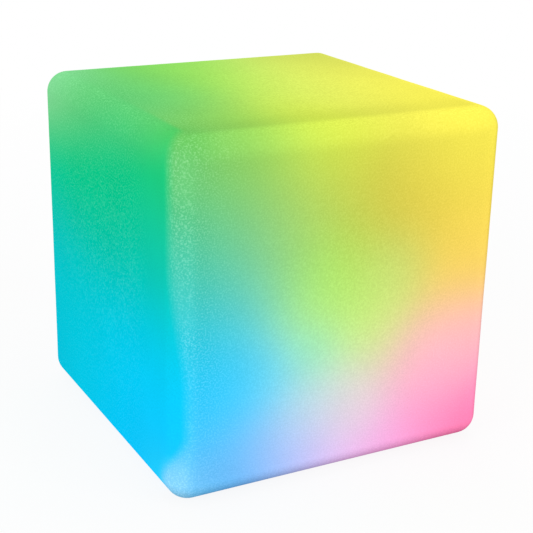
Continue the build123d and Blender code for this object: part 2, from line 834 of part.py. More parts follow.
with BuildPart() as charge_cap:
    with BuildSketch(Plane.XY.offset(underside + cap_flush)):
        with Locations((jack_x, jack_y)):
            Circle(cap_radius)
            with Locations((-(cap_radius + cap_tab_reach) / 2, 0)):
                RectangleRounded(cap_radius + cap_tab_reach, cap_tab_width, cap_tab_corner)
    extrude(amount=cap_thickness)
    # the hollow plug that closes the jack round its pin
    with BuildSketch(Plane.XY.offset(jack_mouth)):
        with Locations((jack_x, jack_y)):
            Circle(cap_plug_radius)
            Circle(cap_plug_bore, mode=Mode.SUBTRACT)
    extrude(amount=cap_plug_length)
    # the strap, rounded about the line that it bends on
    with BuildSketch(Plane.XZ.offset(-jack_y - cap_strap_width / 2)):
        with Locations((hinge_x, hinge_z)):
            Circle(cap_strap_thickness / 2)
            Rectangle(cap_hinge_distance, cap_strap_thickness, align=(Align.MAX, Align.CENTER))
    extrude(amount=cap_strap_width)
save(charge_cap, "charge_cap")

with BuildPart() as cap_anchor:
    anchor_face = hinge_x + cap_strap_thickness / 2 + cap_hinge_gap
    with BuildSketch(Plane.XY.offset(strap_low)):
        with Locations((anchor_x, jack_y)):
            Circle(anchor_radius)
        with Locations((anchor_face, jack_y)):
            Rectangle(anchor_x - anchor_face, cap_strap_width, align=(Align.MIN, Align.CENTER))
    extrude(amount=cap_strap_thickness)
    # the notch under its end that lets the strap fold right back
    strap_end = cap_anchor.edges().group_by(Axis.X)[0].sort_by(Axis.Z)[0]
    chamfer(strap_end, cap_strap_thickness / 2)
    with BuildSketch(Plane.XY.offset(jack_mouth)):
        with Locations((anchor_x, jack_y)):
            Circle(anchor_peg_radius)
    extrude(amount=pad_top - jack_mouth)
    # the barb that holds the peg behind the floor
    with BuildSketch(Plane.XY.offset(pad_top)):
        with Locations((anchor_x, jack_y)):
            Circle(anchor_barb_radius)
    extrude(amount=anchor_barb_height, taper=anchor_barb_taper)
save(cap_anchor, "cap_anchor")

# ---------------------------------------------------------------- power button, boot and switch
stem_base = collar_top + button_lip_thickness
stem_top = stem_base + button_stem_length
hub_top = stem_top + boot_wall
button_axis = Axis((button_x, button_y, 0), (0, 0, 1))

with BuildPart() as power_button:
    with BuildSketch(Plane.XY.offset(underside + button_flush)):
        with Locations((button_x, button_y)):
            Circle(button_radius)
    extrude(amount=collar_top - underside - button_flush)
    fillet(power_button.edges().group_by(Axis.Z)[0], button_edge)
    # the lip that stops it on the collar, and the stem
    with BuildSketch(Plane.XY.offset(collar_top)):
        with Locations((button_x, button_y)):
            Circle(button_radius + button_lip)
    extrude(amount=button_lip_thickness)
    with BuildSketch(Plane.XY.offset(stem_base)):
        with Locations((button_x, button_y)):
            Circle(button_stem_radius)
    extrude(amount=button_stem_length)
save(power_button, "power_button")

with BuildPart() as button_boot:
    grip = collar_radius + slip
    skirt_radius = grip + boot_wall
    shoulder = collar_top + boot_skirt
    half_section = [
        (0, hub_top),
        (boot_hub_radius, hub_top),
        (skirt_radius, shoulder + boot_wall),
        (skirt_radius, floor_z + boot_wall),
        (skirt_radius + boot_foot, floor_z + boot_wall),
        (skirt_radius + boot_foot, floor_z),
        (grip, floor_z),
        (grip, shoulder),
        (boot_hub_radius, stem_top),
        (0, stem_top),
    ]
    with BuildSketch(Plane.XZ.offset(-button_y)):
        with BuildLine():
            Polyline(*[(button_x + radius, level) for radius, level in half_section], close=True)
        make_face()
    revolve(axis=button_axis)
save(button_boot, "button_boot")

with BuildPart() as switch_body:
    with BuildSketch(Plane.XY.offset(board_z)):
        with Locations((button_x, button_y)):
            Rectangle(switch_size, switch_size)
    extrude(amount=-switch_height)
    chamfer(switch_body.edges().filter_by(Axis.Z), switch_corner)
    # the square way that its plunger slides in
    with BuildSketch(Plane.XY.offset(board_z - switch_height)):
        with Locations((button_x, button_y)):
            Rectangle(plunger_size + 2 * running, plunger_size + 2 * running)
    extrude(amount=switch_height - switch_back, mode=Mode.SUBTRACT)
save(switch_body, "switch_body")

with BuildPart() as switch_plunger:
    with BuildSketch(Plane.XY.offset(hub_top)):
        with Locations((button_x, button_y)):
            Rectangle(plunger_size, plunger_size)
    extrude(amount=board_z - switch_back - running - button_travel - hub_top)
save(switch_plunger, "switch_plunger")

# ---------------------------------------------------------------- indicator light pipe
with BuildPart() as indicator_lens:
    pipe_foot = underside + cap_flush
    with BuildSketch(Plane.XY.offset(pipe_foot)):
        with Locations((indicator_x, indicator_y)):
            Circle(indicator_radius)
    extrude(amount=board_z - indicator_led_height - running - pipe_foot)
    with BuildSketch(Plane.XY.offset(floor_z)):
        with Locations((indicator_x, indicator_y)):
            Circle(indicator_radius + indicator_flange)
    extrude(amount=indicator_flange)
save(indicator_lens, "indicator_lens")


# ---------------------------------------------------------------- leads
def lead(name, route, radius, bend):
    """An insulated lead: a round tube along straight runs joined by tangent arcs."""
    with BuildPart() as tube:
        with BuildLine() as path:
            FilletPolyline(*route, radius=bend)
        wire = path.wires()[0]
        with BuildSketch(Plane(origin=wire @ 0, z_dir=wire % 0)):
            Circle(radius)
        sweep(path=wire)
    share = tube.part.volume / (pi * radius**2 * wire.length)
    print(f"{name}: length {wire.length:.1f}, bends {bend}, volume over section x length {share:.4f}")
    save(tube, name)


# the battery's leads rise from the nickel tabs, cross over the cells and enter their socket's side
tab_x = half_cell + nickel_thickness + battery_lead_radius + thread
over_cells = board_top + (socket_height + battery_lead_radius) / 2
for name, side in (("battery_lead_red", 1), ("battery_lead_black", -1)):
    lead_x = battery_socket_x + side * battery_lead_pitch / 2
    route = [
        (side * tab_x, cell_y, cell_z + nickel_tab_height / 8),
        (side * tab_x, cell_y, over_cells),
        (lead_x, cell_y, over_cells),
        (lead_x, battery_socket_y - socket_depth / 2, over_cells),
    ]
    lead(name, route, battery_lead_radius, battery_lead_bend)

# the light board's leads rise through the deck and bend into the socket on that board
for name, step in (("led_lead_power", -1), ("led_lead_data", 0), ("led_lead_ground", 1)):
    lead_x = led_socket_x + step * led_lead_pitch
    into_plug = led_z + led_plug_height / 2
    route = [
        (lead_x, led_socket_y, board_top + socket_height),
        (lead_x, led_socket_y, into_plug),
        (lead_x, led_plug_y - led_plug_depth / 2, into_plug),
    ]
    lead(name, route, led_lead_radius, led_lead_bend)
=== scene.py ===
import bpy
from math import cos, pi, radians, sin
from mathutils import Matrix, Vector


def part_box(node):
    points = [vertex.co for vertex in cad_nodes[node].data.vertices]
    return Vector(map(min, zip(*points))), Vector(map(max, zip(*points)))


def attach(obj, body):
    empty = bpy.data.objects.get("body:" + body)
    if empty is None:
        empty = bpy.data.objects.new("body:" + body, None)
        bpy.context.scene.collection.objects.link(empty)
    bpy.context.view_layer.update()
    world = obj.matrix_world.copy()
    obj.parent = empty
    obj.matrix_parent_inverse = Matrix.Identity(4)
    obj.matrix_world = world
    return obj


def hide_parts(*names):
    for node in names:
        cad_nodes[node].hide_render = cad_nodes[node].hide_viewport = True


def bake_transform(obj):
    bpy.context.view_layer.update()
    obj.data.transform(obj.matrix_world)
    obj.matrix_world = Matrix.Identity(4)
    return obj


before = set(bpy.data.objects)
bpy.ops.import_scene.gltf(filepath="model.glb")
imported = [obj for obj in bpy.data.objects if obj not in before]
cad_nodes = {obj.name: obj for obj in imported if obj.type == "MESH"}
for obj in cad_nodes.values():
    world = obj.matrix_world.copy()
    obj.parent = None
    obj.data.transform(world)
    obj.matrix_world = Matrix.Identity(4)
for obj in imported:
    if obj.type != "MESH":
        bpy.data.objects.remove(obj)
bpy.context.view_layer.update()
bpy.ops.object.select_all(action="DESELECT")

# ---------------------------------------------------------------- camera
# It stands to the left of the cube's large face and a little above it, level with a low garden
# table, and is turned by a degree about its own line of sight.
camera_place = Vector((-0.490778, -0.929623, 0.513992))
camera_target = Vector((0.003895, -0.007284, 0.139057))
camera_roll = radians(1.235)
camera_lens = 82.73

back = (camera_place - camera_target).normalized()
level_right = Vector((0, 0, 1)).cross(back).normalized()
level_up = back.cross(level_right)
camera_right = level_right * cos(camera_roll) + level_up * sin(camera_roll)
camera_up = level_up * cos(camera_roll) - level_right * sin(camera_roll)
camera = bpy.data.objects.new("camera", bpy.data.cameras.new("camera"))
camera_turn = Matrix((camera_right, camera_up, back)).transposed().to_4x4()
camera.matrix_world = Matrix.Translation(camera_place) @ camera_turn
camera.data.lens = camera_lens
camera.data.clip_start = 0.01
bpy.context.scene.collection.objects.link(camera)
bpy.context.scene.camera = camera
bpy.context.scene.view_settings.view_transform = "Standard"


# ---------------------------------------------------------------- floor, backdrop and studio light
# A plain white floor runs out into a white backdrop. A large soft key stands in front, with a fill
# and an overhead light, so that plain colours come out about as they are written.
floor_size = 12.0
floor_colour = (0.86, 0.86, 0.86, 1.0)
floor_whiteness = 0.90
white_from = 0.45
white_by = 1.5
room_light = (0.62, 0.63, 0.64, 1.0)
softboxes = (
    ("key_light", (0.9, -2.1, 1.7), 1.6, 16.0),
    ("fill_light", (-2.4, -0.9, 1.2), 1.6, 19.0),
    ("top_light", (0.2, 0.3, 2.6), 1.8, 12.0),
    ("back_light", (0.8, 2.3, 1.5), 1.6, 8.0),
)


def add_node(tree, kind, inputs=None, **settings):
    """Adds a node with its options, and feeds its sockets with values or with other sockets."""
    node = tree.nodes.new(kind)
    for name, value in settings.items():
        setattr(node, name, value)
    for place, value in (inputs or {}).items():
        if isinstance(value, bpy.types.NodeSocket):
            tree.links.new(value, node.inputs[place])
        else:
            node.inputs[place].default_value = value
    return node


def sees_straight(tree):
    """1 for what the eye, a mirror or a glass sees directly, 0 for light on other surfaces."""
    path = add_node(tree, "ShaderNodeLightPath")
    mirror = add_node(tree, "ShaderNodeMath", {0: path.outputs["Is Camera Ray"],
                                               1: path.outputs["Is Glossy Ray"]}, operation="MAXIMUM")
    glass = add_node(tree, "ShaderNodeMath", {0: mirror.outputs[0],
                                              1: path.outputs["Is Transmission Ray"]}, operation="MAXIMUM")
    return glass.outputs[0]


bpy.ops.mesh.primitive_grid_add(x_subdivisions=12, y_subdivisions=12, size=floor_size)
floor = bpy.context.object
floor.name = "floor"
floor_finish = bpy.data.materials.new("white_floor")
floor_finish.use_nodes = True
tree = floor_finish.node_tree
tree.nodes["Principled BSDF"].inputs["Base Color"].default_value = floor_colour
tree.nodes["Principled BSDF"].inputs["Roughness"].default_value = 0.9
tree.nodes["Principled BSDF"].inputs["Specular IOR Level"].default_value = 0.0
paper = add_node(tree, "ShaderNodeEmission", {"Color": (1, 1, 1, 1), "Strength": 1.0})
place = add_node(tree, "ShaderNodeTexCoord").outputs["Object"]
distance = add_node(tree, "ShaderNodeVectorMath", {0: place}, operation="LENGTH").outputs["Value"]
whiteness = add_node(tree, "ShaderNodeMapRange", {"Value": distance, "From Min": white_from,
                                                  "From Max": white_by, "To Min": floor_whiteness,
                                                  "To Max": 1.0})
share = add_node(tree, "ShaderNodeMath", {0: sees_straight(tree), 1: whiteness.outputs[0]},
                 operation="MULTIPLY")
blend = add_node(tree, "ShaderNodeMixShader", {0: share.outputs[0],
                                               1: tree.nodes["Principled BSDF"].outputs[0],
                                               2: paper.outputs[0]})
tree.links.new(blend.outputs[0], tree.nodes["Material Output"].inputs["Surface"])
floor.data.materials.append(floor_finish)

world = bpy.data.worlds.new("studio")
bpy.context.scene.world = world
world.use_nodes = True
tree = world.node_tree
room = add_node(tree, "ShaderNodeBackground", {"Color": room_light, "Strength": 1.0})
backdrop = add_node(tree, "ShaderNodeBackground", {"Color": (1, 1, 1, 1), "Strength": 1.0})
blend = add_node(tree, "ShaderNodeMixShader", {0: sees_straight(tree), 1: room.outputs[0],
                                               2: backdrop.outputs[0]})
tree.links.new(blend.outputs[0], tree.nodes["World Output"].inputs["Surface"])

for name, place, size, power in softboxes:
    lamp = bpy.data.objects.new(name, bpy.data.lights.new(name, "AREA"))
    lamp.data.size = size
    lamp.data.energy = power
    lamp.location = place
    lamp.rotation_euler = (Vector(place) - Vector((0, 0, 0.15))).to_track_quat("Z", "Y").to_euler()
    bpy.context.scene.collection.objects.link(lamp)


# ---------------------------------------------------------------- the glowing shell
# One hollow rotomoulded skin of milky polyethylene. Its panels sink a little as they cool, and its
# base holds the round recess of the light unit, six insert holes and four foot pockets.
shell_low, shell_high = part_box("cube_shell")
cube_side = shell_high.x - shell_low.x
shell_middle = shell_low.z + cube_side / 2
edge_radius = 0.019
edge_steps = 14
wall = 0.0032
panel_cuts = 22
panel_sink = 0.0007
skin_wave = 0.0003
skin_wave_size = 0.05
seat_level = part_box("base_gasket")[1].z
recess_clearance = 0.003
recess_flare = 0.00122
recess_top_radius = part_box("base_housing")[1].x + recess_clearance
recess_mouth_radius = recess_top_radius + recess_flare
recess_lip = 0.0027
seat_width = 0.020
opening_radius = recess_top_radius - seat_width
boss_radius = 0.0065
boss_height = 0.011
insert_hole_radius = 0.00305
insert_hole_depth = 0.0091
round_steps = 128
boss_steps = 32
pocket_steps = 48
hollow_steps = 6
head_radius = 0.0038
screw_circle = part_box("base_screws")[1].x - head_radius
screw_count = 6
clear = 0.0001
past = 0.001


def shape(piece, kind, wanted):
    """Selects the vertices, edges or faces that are wanted and leaves the piece in edit mode."""
    bpy.ops.object.mode_set(mode="OBJECT")
    bpy.ops.object.select_all(action="DESELECT")
    piece.select_set(True)
    bpy.context.view_layer.objects.active = piece
    bpy.ops.object.mode_set(mode="EDIT")
    bpy.ops.mesh.select_mode(type={"vertices": "VERT", "edges": "EDGE", "polygons": "FACE"}[kind])
    bpy.ops.mesh.select_all(action="DESELECT")
    bpy.ops.object.mode_set(mode="OBJECT")
    points = [v.co.copy() for v in piece.data.vertices]
    for part in getattr(piece.data, kind):
        corners = [part.index] if kind == "vertices" else part.vertices
        part.select = wanted([points[i] for i in corners])
    bpy.ops.object.mode_set(mode="EDIT")


def finish_shape():
    """Leaves edit mode."""
    bpy.ops.object.mode_set(mode="OBJECT")


def rounded_block(name, side, low, radius, steps):
    """A cube on its base at a level, with all its edges rounded."""
    bpy.ops.mesh.primitive_cube_add(size=side, location=(0, 0, low + side / 2))
    block = bpy.context.object
    block.name = name
    bpy.ops.object.transform_apply()
    bpy.ops.object.mode_set(mode="EDIT")
    bpy.ops.mesh.select_all(action="SELECT")
    bpy.ops.mesh.bevel(offset=radius, segments=steps, profile=0.5, affect="EDGES")
    finish_shape()
    return block


def round_tool(low_radius, top_radius, low, height, places=((0, 0),), steps=round_steps):
    """Upright round cutters, straight or tapered, as one object."""
    tools = []
    for x, y in places:
        bpy.ops.mesh.primitive_cone_add(vertices=steps, radius1=low_radius, radius2=top_radius,
                                        depth=height, location=(x, y, low + height / 2))
        bpy.ops.object.transform_apply()
        tools.append(bpy.context.object)
    bpy.ops.object.select_all(action="DESELECT")
    for tool in tools:
        tool.select_set(True)
    bpy.context.view_layer.objects.active = tools[0]
    if len(tools) > 1:
        bpy.ops.object.join()
    return bpy.context.object


def apply_modifier(piece, kind, **settings):
    """Puts a modifier on a piece and applies it."""
    modifier = piece.modifiers.new(kind.lower(), kind)
    for name, value in settings.items():
        setattr(modifier, name, value)
    bpy.ops.object.select_all(action="DESELECT")
    piece.select_set(True)
    bpy.context.view_layer.objects.active = piece
    bpy.ops.object.modifier_apply(modifier=modifier.name)


def cut_away(piece, tool):
    """Cuts a tool's shape out of a piece and throws the tool away."""
    apply_modifier(piece, "BOOLEAN", operation="DIFFERENCE", solver="EXACT", object=tool)
    bpy.data.objects.remove(tool)


def circle_places(radius, count):
    """Places evenly spaced on a circle round the cube's axis, the first on +X."""
    return [(radius * cos(2 * pi * i / count), radius * sin(2 * pi * i / count)) for i in range(count)]


screw_places = circle_places(screw_circle, screw_count)
foot_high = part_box("rubber_feet")[1]
foot_radius = 0.009
foot_reach = foot_high.x - foot_radius
foot_places = [(x, y) for x in (-foot_reach, foot_reach) for y in (-foot_reach, foot_reach)]

shell = rounded_block("glowing_shell", cube_side, shell_low.z, edge_radius, edge_steps)
flat_reach = cube_side / 2 - edge_radius
bpy.ops.object.mode_set(mode="EDIT")
for axis in range(3):
    for cut in range(1, panel_cuts):
        place = Vector((0, 0, shell_middle))
        place[axis] += flat_reach * (2 * cut / panel_cuts - 1)
        direction = [0, 0, 0]
        direction[axis] = 1
        bpy.ops.mesh.select_all(action="SELECT")
        bpy.ops.mesh.bisect(plane_co=place, plane_no=direction)
finish_shape()

# the panels sink towards their middles, and the skin waves slightly, but not on the base
sink = shell.vertex_groups.new(name="sink")
skin = shell.vertex_groups.new(name="skin")
for point in shell.data.vertices:
    reach = sorted(abs(c) for c in (point.co.x, point.co.y, point.co.z - shell_middle))
    if point.co.z > shell_low.z + edge_radius:
        bowl = (1 - min(1, reach[0] / flat_reach) ** 2) * (1 - min(1, reach[1] / flat_reach) ** 2)
        sink.add([point.index], bowl, "REPLACE")
        skin.add([point.index], 1.0, "REPLACE")
apply_modifier(shell, "DISPLACE", strength=-panel_sink, mid_level=0.0, vertex_group="sink")
wave = bpy.data.textures.new("skin_wave", "CLOUDS")
wave.noise_scale = skin_wave_size
apply_modifier(shell, "DISPLACE", strength=-skin_wave, mid_level=0.0, vertex_group="skin", texture=wave)

# one plain face for the base, then the hollow, the recess and the holes are cut
shape(shell, "polygons", lambda points: all(abs(p.z - shell_low.z) < 1e-6 for p in points))
bpy.ops.mesh.dissolve_faces()
finish_shape()
hollow = rounded_block("hollow", cube_side - 2 * wall, shell_low.z + wall, edge_radius - wall,
                       hollow_steps)
recess_depth = seat_level - shell_low.z
pan_height = recess_depth + wall
cut_away(hollow, round_tool(recess_mouth_radius + wall, recess_top_radius + wall, shell_low.z, pan_height))
cut_away(hollow, round_tool(boss_radius, boss_radius, seat_level, boss_height, screw_places,
                           boss_steps))
foot_depth = foot_high.z - shell_low.z
around_foot = foot_radius + wall
cut_away(hollow, round_tool(around_foot, around_foot, shell_low.z, foot_depth + wall, foot_places,
                           boss_steps))
cut_away(shell, hollow)
below = shell_low.z - past
cut_away(shell, round_tool(recess_mouth_radius + clear, recess_top_radius, below, recess_depth + past))
cut_away(shell, round_tool(opening_radius, opening_radius, seat_level - past, wall + 2 * past))
pocket_radius = foot_radius + clear
cut_away(shell, round_tool(pocket_radius, pocket_radius, below, foot_depth + past, foot_places,
                          pocket_steps))
cut_away(shell, round_tool(insert_hole_radius, insert_hole_radius, seat_level - past,
                          insert_hole_depth + past, screw_places, boss_steps))
shape(shell, "edges", lambda points: all(
    abs(p.z - shell_low.z) < 1e-5 and abs(p.to_2d().length - recess_mouth_radius) < 0.001 for p in points))
bpy.ops.mesh.bevel(offset=recess_lip, segments=6, profile=0.5, affect="EDGES")
finish_shape()
bpy.ops.object.shade_smooth_by_angle(angle=radians(32))

# Light pools, placed and tuned to match the photograph's blend of colours: each is a place
# in millimetres (height above the ground), the reach over which it fades, and its colour.
depth_share = 0.6
light_pools = (
    ((-135, -150, 292), 60, (0.48, 0.80, 0.34)),
    ((-144, -150, 281), 16, (0.48, 0.84, 0.55)),
    ((-145, -150, 207), 72, (0.13, 0.79, 0.70)),
    ((-115, -150, 120), 70, (0.20, 0.81, 1.00)),
    ((-98, -150, 92), 32, (0.00, 0.80, 1.00)),
    ((-110, -150, 22), 70, (0.35, 0.67, 0.96)),
    ((-149, -145, 12), 28, (0.68, 0.91, 1.00)),
    ((-122, -150, 8), 32, (0.42, 0.68, 0.90)),
    ((-40, -150, 37), 60, (0.79, 0.81, 1.00)),
    ((-64, -150, 98), 26, (0.26, 0.87, 0.99)),
    ((-33, -150, 80), 34, (0.72, 0.89, 0.89)),
    ((-30, -150, 115), 25, (0.50, 0.93, 0.76)),
    ((8, -150, 60), 32, (0.90, 0.86, 0.84)),
    ((25, -150, 12), 60, (0.98, 0.70, 0.92)),
    ((135, -150, 27), 80, (1.00, 0.50, 0.74)),
    ((150, -150, 8), 42, (1.00, 0.49, 0.65)),
    ((130, -150, 100), 36, (0.99, 0.77, 0.79)),
    ((95, -150, 87), 50, (1.00, 0.76, 0.83)),
    ((120, -150, 167), 55, (1.00, 0.86, 0.38)),
    ((140, -150, 237), 75, (1.00, 0.89, 0.33)),
    ((110, -150, 302), 60, (0.98, 0.95, 0.31)),
    ((45, -150, 242), 70, (0.81, 0.72, 0.26)),
    ((-20, -150, 302), 55, (0.89, 0.95, 0.26)),
    ((45, -150, 170), 34, (0.78, 0.92, 0.52)),
    ((5, -150, 122), 55, (0.83, 0.94, 0.52)),
    ((-15, -150, 167), 55, (0.68, 0.98, 0.36)),
    ((-65, -150, 232), 70, (0.63, 0.82, 0.40)),
    ((-150, 40, 302), 90, (0.31, 0.80, 0.46)),
    ((-150, 0, 222), 80, (0.00, 0.77, 0.57)),
    ((-150, 90, 105), 100, (0.00, 0.78, 0.76)),
    ((-143, 110, 297), 40, (0.50, 0.85, 0.58)),
    ((-148, 150, 301), 34, (0.68, 0.95, 0.76)),
    ((-150, -70, 52), 88, (0.00, 0.80, 1.00)),
    ((-130, 60, 302), 75, (0.47, 0.81, 0.44)),
    ((-131, -131, 302), 16, (0.34, 0.76, 0.32)),
    ((-90, -120, 302), 48, (0.61, 0.83, 0.29)),
    ((-40, 90, 302), 75, (0.58, 0.88, 0.28)),
    ((40, -20, 302), 75, (0.90, 0.98, 0.43)),
    ((120, -40, 302), 75, (1.00, 0.97, 0.35)),
    ((110, 120, 302), 75, (0.77, 0.86, 0.36)),
    ((150, 60, 192), 90, (0.99, 0.76, 0.36)),
    ((150, 80, 62), 100, (0.98, 0.46, 0.61)),
    ((60, 150, 42), 90, (0.76, 0.54, 0.96)),
    ((-35, 150, 62), 85, (0.31, 0.61, 1.00)),
    ((0, 150, 202), 84, (0.46, 0.88, 0.60)),
)
grain_size = 0.0014
grain = 0.12
top_grain = 0.22
speck = 0.06
speck_everywhere = 0.2
mottle = 0.04
# painted pale highlight on the left edges and the lower front corner
frost_and_painted_highlight = 0.06
painted_highlight_colour = (0.30, 0.95, 1.0)
painted_corner_highlight = (0.06, 0.05, 0.02)
base_lift = 0.08
# painted highlight round the edges, and painted shade near the base, before the top's front edge and on the
# right edges
painted_edge_highlight = 0.04
painted_top_edge_highlight = 0.07
painted_top_line_shade = 0.07
base_shade = 0.42
right_shade = 0.22
left_coolness = 0.9
glow_share = 0.55


def as_light(colour):
    """A colour as the eye names it, turned into amounts of light."""
    return tuple(c / 12.92 if c <= 0.04045 else ((c + 0.055) / 1.055) ** 2.4 for c in colour)


def new_finish(name):
    """A material, its node tree, its surface, and the piece's own coordinates in metres."""
    finish = bpy.data.materials.new(name)
    finish.use_nodes = True
    coordinates = add_node(finish.node_tree, "ShaderNodeTexCoord").outputs["Object"]
    return finish, finish.node_tree, finish.node_tree.nodes["Principled BSDF"], coordinates


def maths(tree, operation, *values):
    """The result of one sum on numbers or sockets."""
    return add_node(tree, "ShaderNodeMath", dict(enumerate(values)), operation=operation).outputs[0]


def vector_maths(tree, operation, *values):
    """The result of one sum on vectors or sockets: a number for a dot product, else a vector."""
    node = add_node(tree, "ShaderNodeVectorMath", dict(enumerate(values)), operation=operation)
    return node.outputs["Value" if operation == "DOT_PRODUCT" else "Vector"]


def scaled(tree, vector, amount):
    """A vector or colour times a number."""
    node = add_node(tree, "ShaderNodeVectorMath", {0: vector, "Scale": amount}, operation="SCALE")
    return node.outputs["Vector"]


def ramp(tree, value, low, high, at_low=0.0, at_high=1.0):
    """A smooth change from one amount to another as a value passes from low to high."""
    node = add_node(tree, "ShaderNodeMapRange", {"Value": value, "From Min": low, "From Max": high,
                                                 "To Min": at_low, "To Max": at_high},
                    interpolation_type="SMOOTHSTEP")
    return node.outputs["Result"]


def noise(tree, coordinates, size, detail=2.0, roughness=0.5):
    """Noise from 0 to 1 with features of about that size in metres."""
    node = add_node(tree, "ShaderNodeTexNoise", {"Vector": coordinates, "Scale": 1 / size,
                                                 "Detail": detail, "Roughness": roughness})
    return node.outputs["Fac"]


milky, tree, surface, place = new_finish("glowing_polyethylene")
squeezed = vector_maths(tree, "MULTIPLY", place, (1, depth_share, 1))
weight_sum = colour_sum = None
for (x, y, z), reach, colour in light_pools:
    offset = vector_maths(tree, "SUBTRACT", squeezed, (x / 1000, depth_share * y / 1000, z / 1000))
    apart = vector_maths(tree, "DOT_PRODUCT", offset, offset)
    weight = maths(tree, "EXPONENT", maths(tree, "MULTIPLY", apart, -1e6 / reach**2))
    share = scaled(tree, as_light(colour), weight)
    weight_sum = weight if weight_sum is None else maths(tree, "ADD", weight_sum, weight)
    colour_sum = share if colour_sum is None else vector_maths(tree, "ADD", colour_sum, share)
glow = scaled(tree, colour_sum, maths(tree, "DIVIDE", 1.0, weight_sum))

# where each point lies, as shares from 0 to 1. The second largest of its three reaches tells how far
# round an edge it is. The left panel's light comes round the upright edge lower down, and leaves it
# again near the ground.
x, y, z = add_node(tree, "ShaderNodeSeparateXYZ", {0: place}).outputs
centred = vector_maths(tree, "ABSOLUTE", vector_maths(tree, "SUBTRACT", place, (0, 0, shell_middle)))
along_x, along_y, along_z = add_node(tree, "ShaderNodeSeparateXYZ", {0: centred}).outputs
second = maths(tree, "MAXIMUM", maths(tree, "MINIMUM", along_x, along_y),
               maths(tree, "MINIMUM", maths(tree, "MAXIMUM", along_x, along_y), along_z))
round_edge = ramp(tree, second, flat_reach - 0.005, flat_reach + 0.008)
diagonal = maths(tree, "SUBTRACT", x, y)
bend = maths(tree, "SUBTRACT", diagonal, ramp(tree, z, 0.10, 0.21, 0.010, -0.010))
bend = maths(tree, "ADD", bend, ramp(tree, z, 0.066, 0.018, 0.0, 0.034))
left_panel = maths(tree, "MULTIPLY", ramp(tree, x, -0.126, -0.133), ramp(tree, bend, 0.009, -0.009))
left_side = ramp(tree, x, -0.080, -0.138)
near_base = maths(tree, "MULTIPLY", ramp(tree, z, shell_low.z + 0.019, shell_low.z + 0.002),
                  maths(tree, "SUBTRACT", 1.0, left_panel))
near_top = ramp(tree, z, 0.270, 0.295)
top_line_shade_mask = maths(tree, "MULTIPLY", ramp(tree, z, 0.297, 0.302), ramp(tree, y, -0.085, -0.122))
top_line_shade_mask = maths(tree, "MULTIPLY", top_line_shade_mask, maths(tree, "SUBTRACT", 1.0, round_edge))
right_edge_shade_mask = maths(tree, "MULTIPLY", round_edge, ramp(tree, x, 0.137, 0.146))

# hardly any red reaches the left panel below its top
cool = ramp(tree, maths(tree, "MULTIPLY_ADD", y, 0.26, z), 0.235, 0.313, 1.0, 0.0)
cool = maths(tree, "MULTIPLY", left_panel, cool)
less_red = maths(tree, "MULTIPLY_ADD", cool, -left_coolness, 1.0)
tint = add_node(tree, "ShaderNodeCombineXYZ", {0: less_red, 1: 1.0, 2: 1.0}).outputs[0]
glow = vector_maths(tree, "MULTIPLY", glow, tint)

# the skin is brighter near the light unit and has a painted highlight round its edges; painted shade darkens
# it where it turns to the ground, in a line on the top before the front edge, and on its right edges
fine = noise(tree, place, grain_size, detail=1.5)
soft = noise(tree, place, 0.045, detail=2.0)
edge_highlight = maths(tree, "MULTIPLY", near_top, ramp(tree, x, -0.150, -0.080, 0.0, painted_top_edge_highlight))
edge_highlight = maths(tree, "MULTIPLY", round_edge, maths(tree, "ADD", edge_highlight, painted_edge_highlight))
edge_highlight = maths(tree, "MULTIPLY", edge_highlight, maths(tree, "SUBTRACT", 1.0, near_base))
brightness = maths(tree, "ADD", edge_highlight, ramp(tree, z, 0.05, 0.20, 1 + base_lift, 1.0))
# painted shade near the base, in a line on the top before the front edge, and on the right edges
for share, amount in ((near_base, base_shade), (top_line_shade_mask, painted_top_line_shade), (right_edge_shade_mask, right_shade)):
    brightness = maths(tree, "MULTIPLY_ADD", share, -amount, brightness)
for texture, amount in ((fine, ramp(tree, z, 0.296, 0.3015, grain * 2, top_grain * 2)), (soft, mottle * 2)):
    brightness = maths(tree, "MULTIPLY_ADD", maths(tree, "SUBTRACT", texture, 0.5), amount, brightness)
bright = scaled(tree, glow, brightness)

# a painted pale highlight lies on the left edges and the lower front corner, and white specks most of all
# there
frosted_and_painted_highlight = maths(tree, "MULTIPLY", maths(tree, "MULTIPLY", left_side, round_edge),
                ramp(tree, z, 0.18, 0.26, frost_and_painted_highlight, 0.0))
frosted_and_painted_highlight = maths(tree, "MULTIPLY", frosted_and_painted_highlight, maths(tree, "SUBTRACT", 1.0, cool))
painted_highlight_veil = scaled(tree, vector_maths(tree, "SUBTRACT", painted_highlight_colour, bright), frosted_and_painted_highlight)
corner = vector_maths(tree, "SUBTRACT", place, (-0.146, -0.148, 0.014))
corner = ramp(tree, vector_maths(tree, "DOT_PRODUCT", corner, corner), 0.004**2, 0.036**2, 1.0, 0.0)
corner = maths(tree, "MULTIPLY", corner, ramp(tree, diagonal, 0.017, 0.004))
painted_pale_corner = scaled(tree, painted_corner_highlight, corner)
in_front = maths(tree, "SUBTRACT", 1.0, left_panel)
lit_left = maths(tree, "MULTIPLY", left_panel, ramp(tree, y, -0.110, -0.050, 0.0, 0.8))
lit_left = maths(tree, "MULTIPLY", lit_left, ramp(tree, z, 0.08, 0.20, 0.35, 1.0))
specked = maths(tree, "MULTIPLY", left_side, ramp(tree, soft, 0.3, 0.6, 1.5, 0.7))
specked = maths(tree, "MULTIPLY_ADD", in_front, maths(tree, "ADD", specked, speck_everywhere), lit_left)
specked = maths(tree, "MAXIMUM", specked, corner)
specks = maths(tree, "MULTIPLY", ramp(tree, fine, 0.45, 0.70, -speck / 5, speck * 4 / 5), specked)
lit_skin = vector_maths(tree, "ADD", vector_maths(tree, "ADD", bright, painted_highlight_veil), painted_pale_corner)
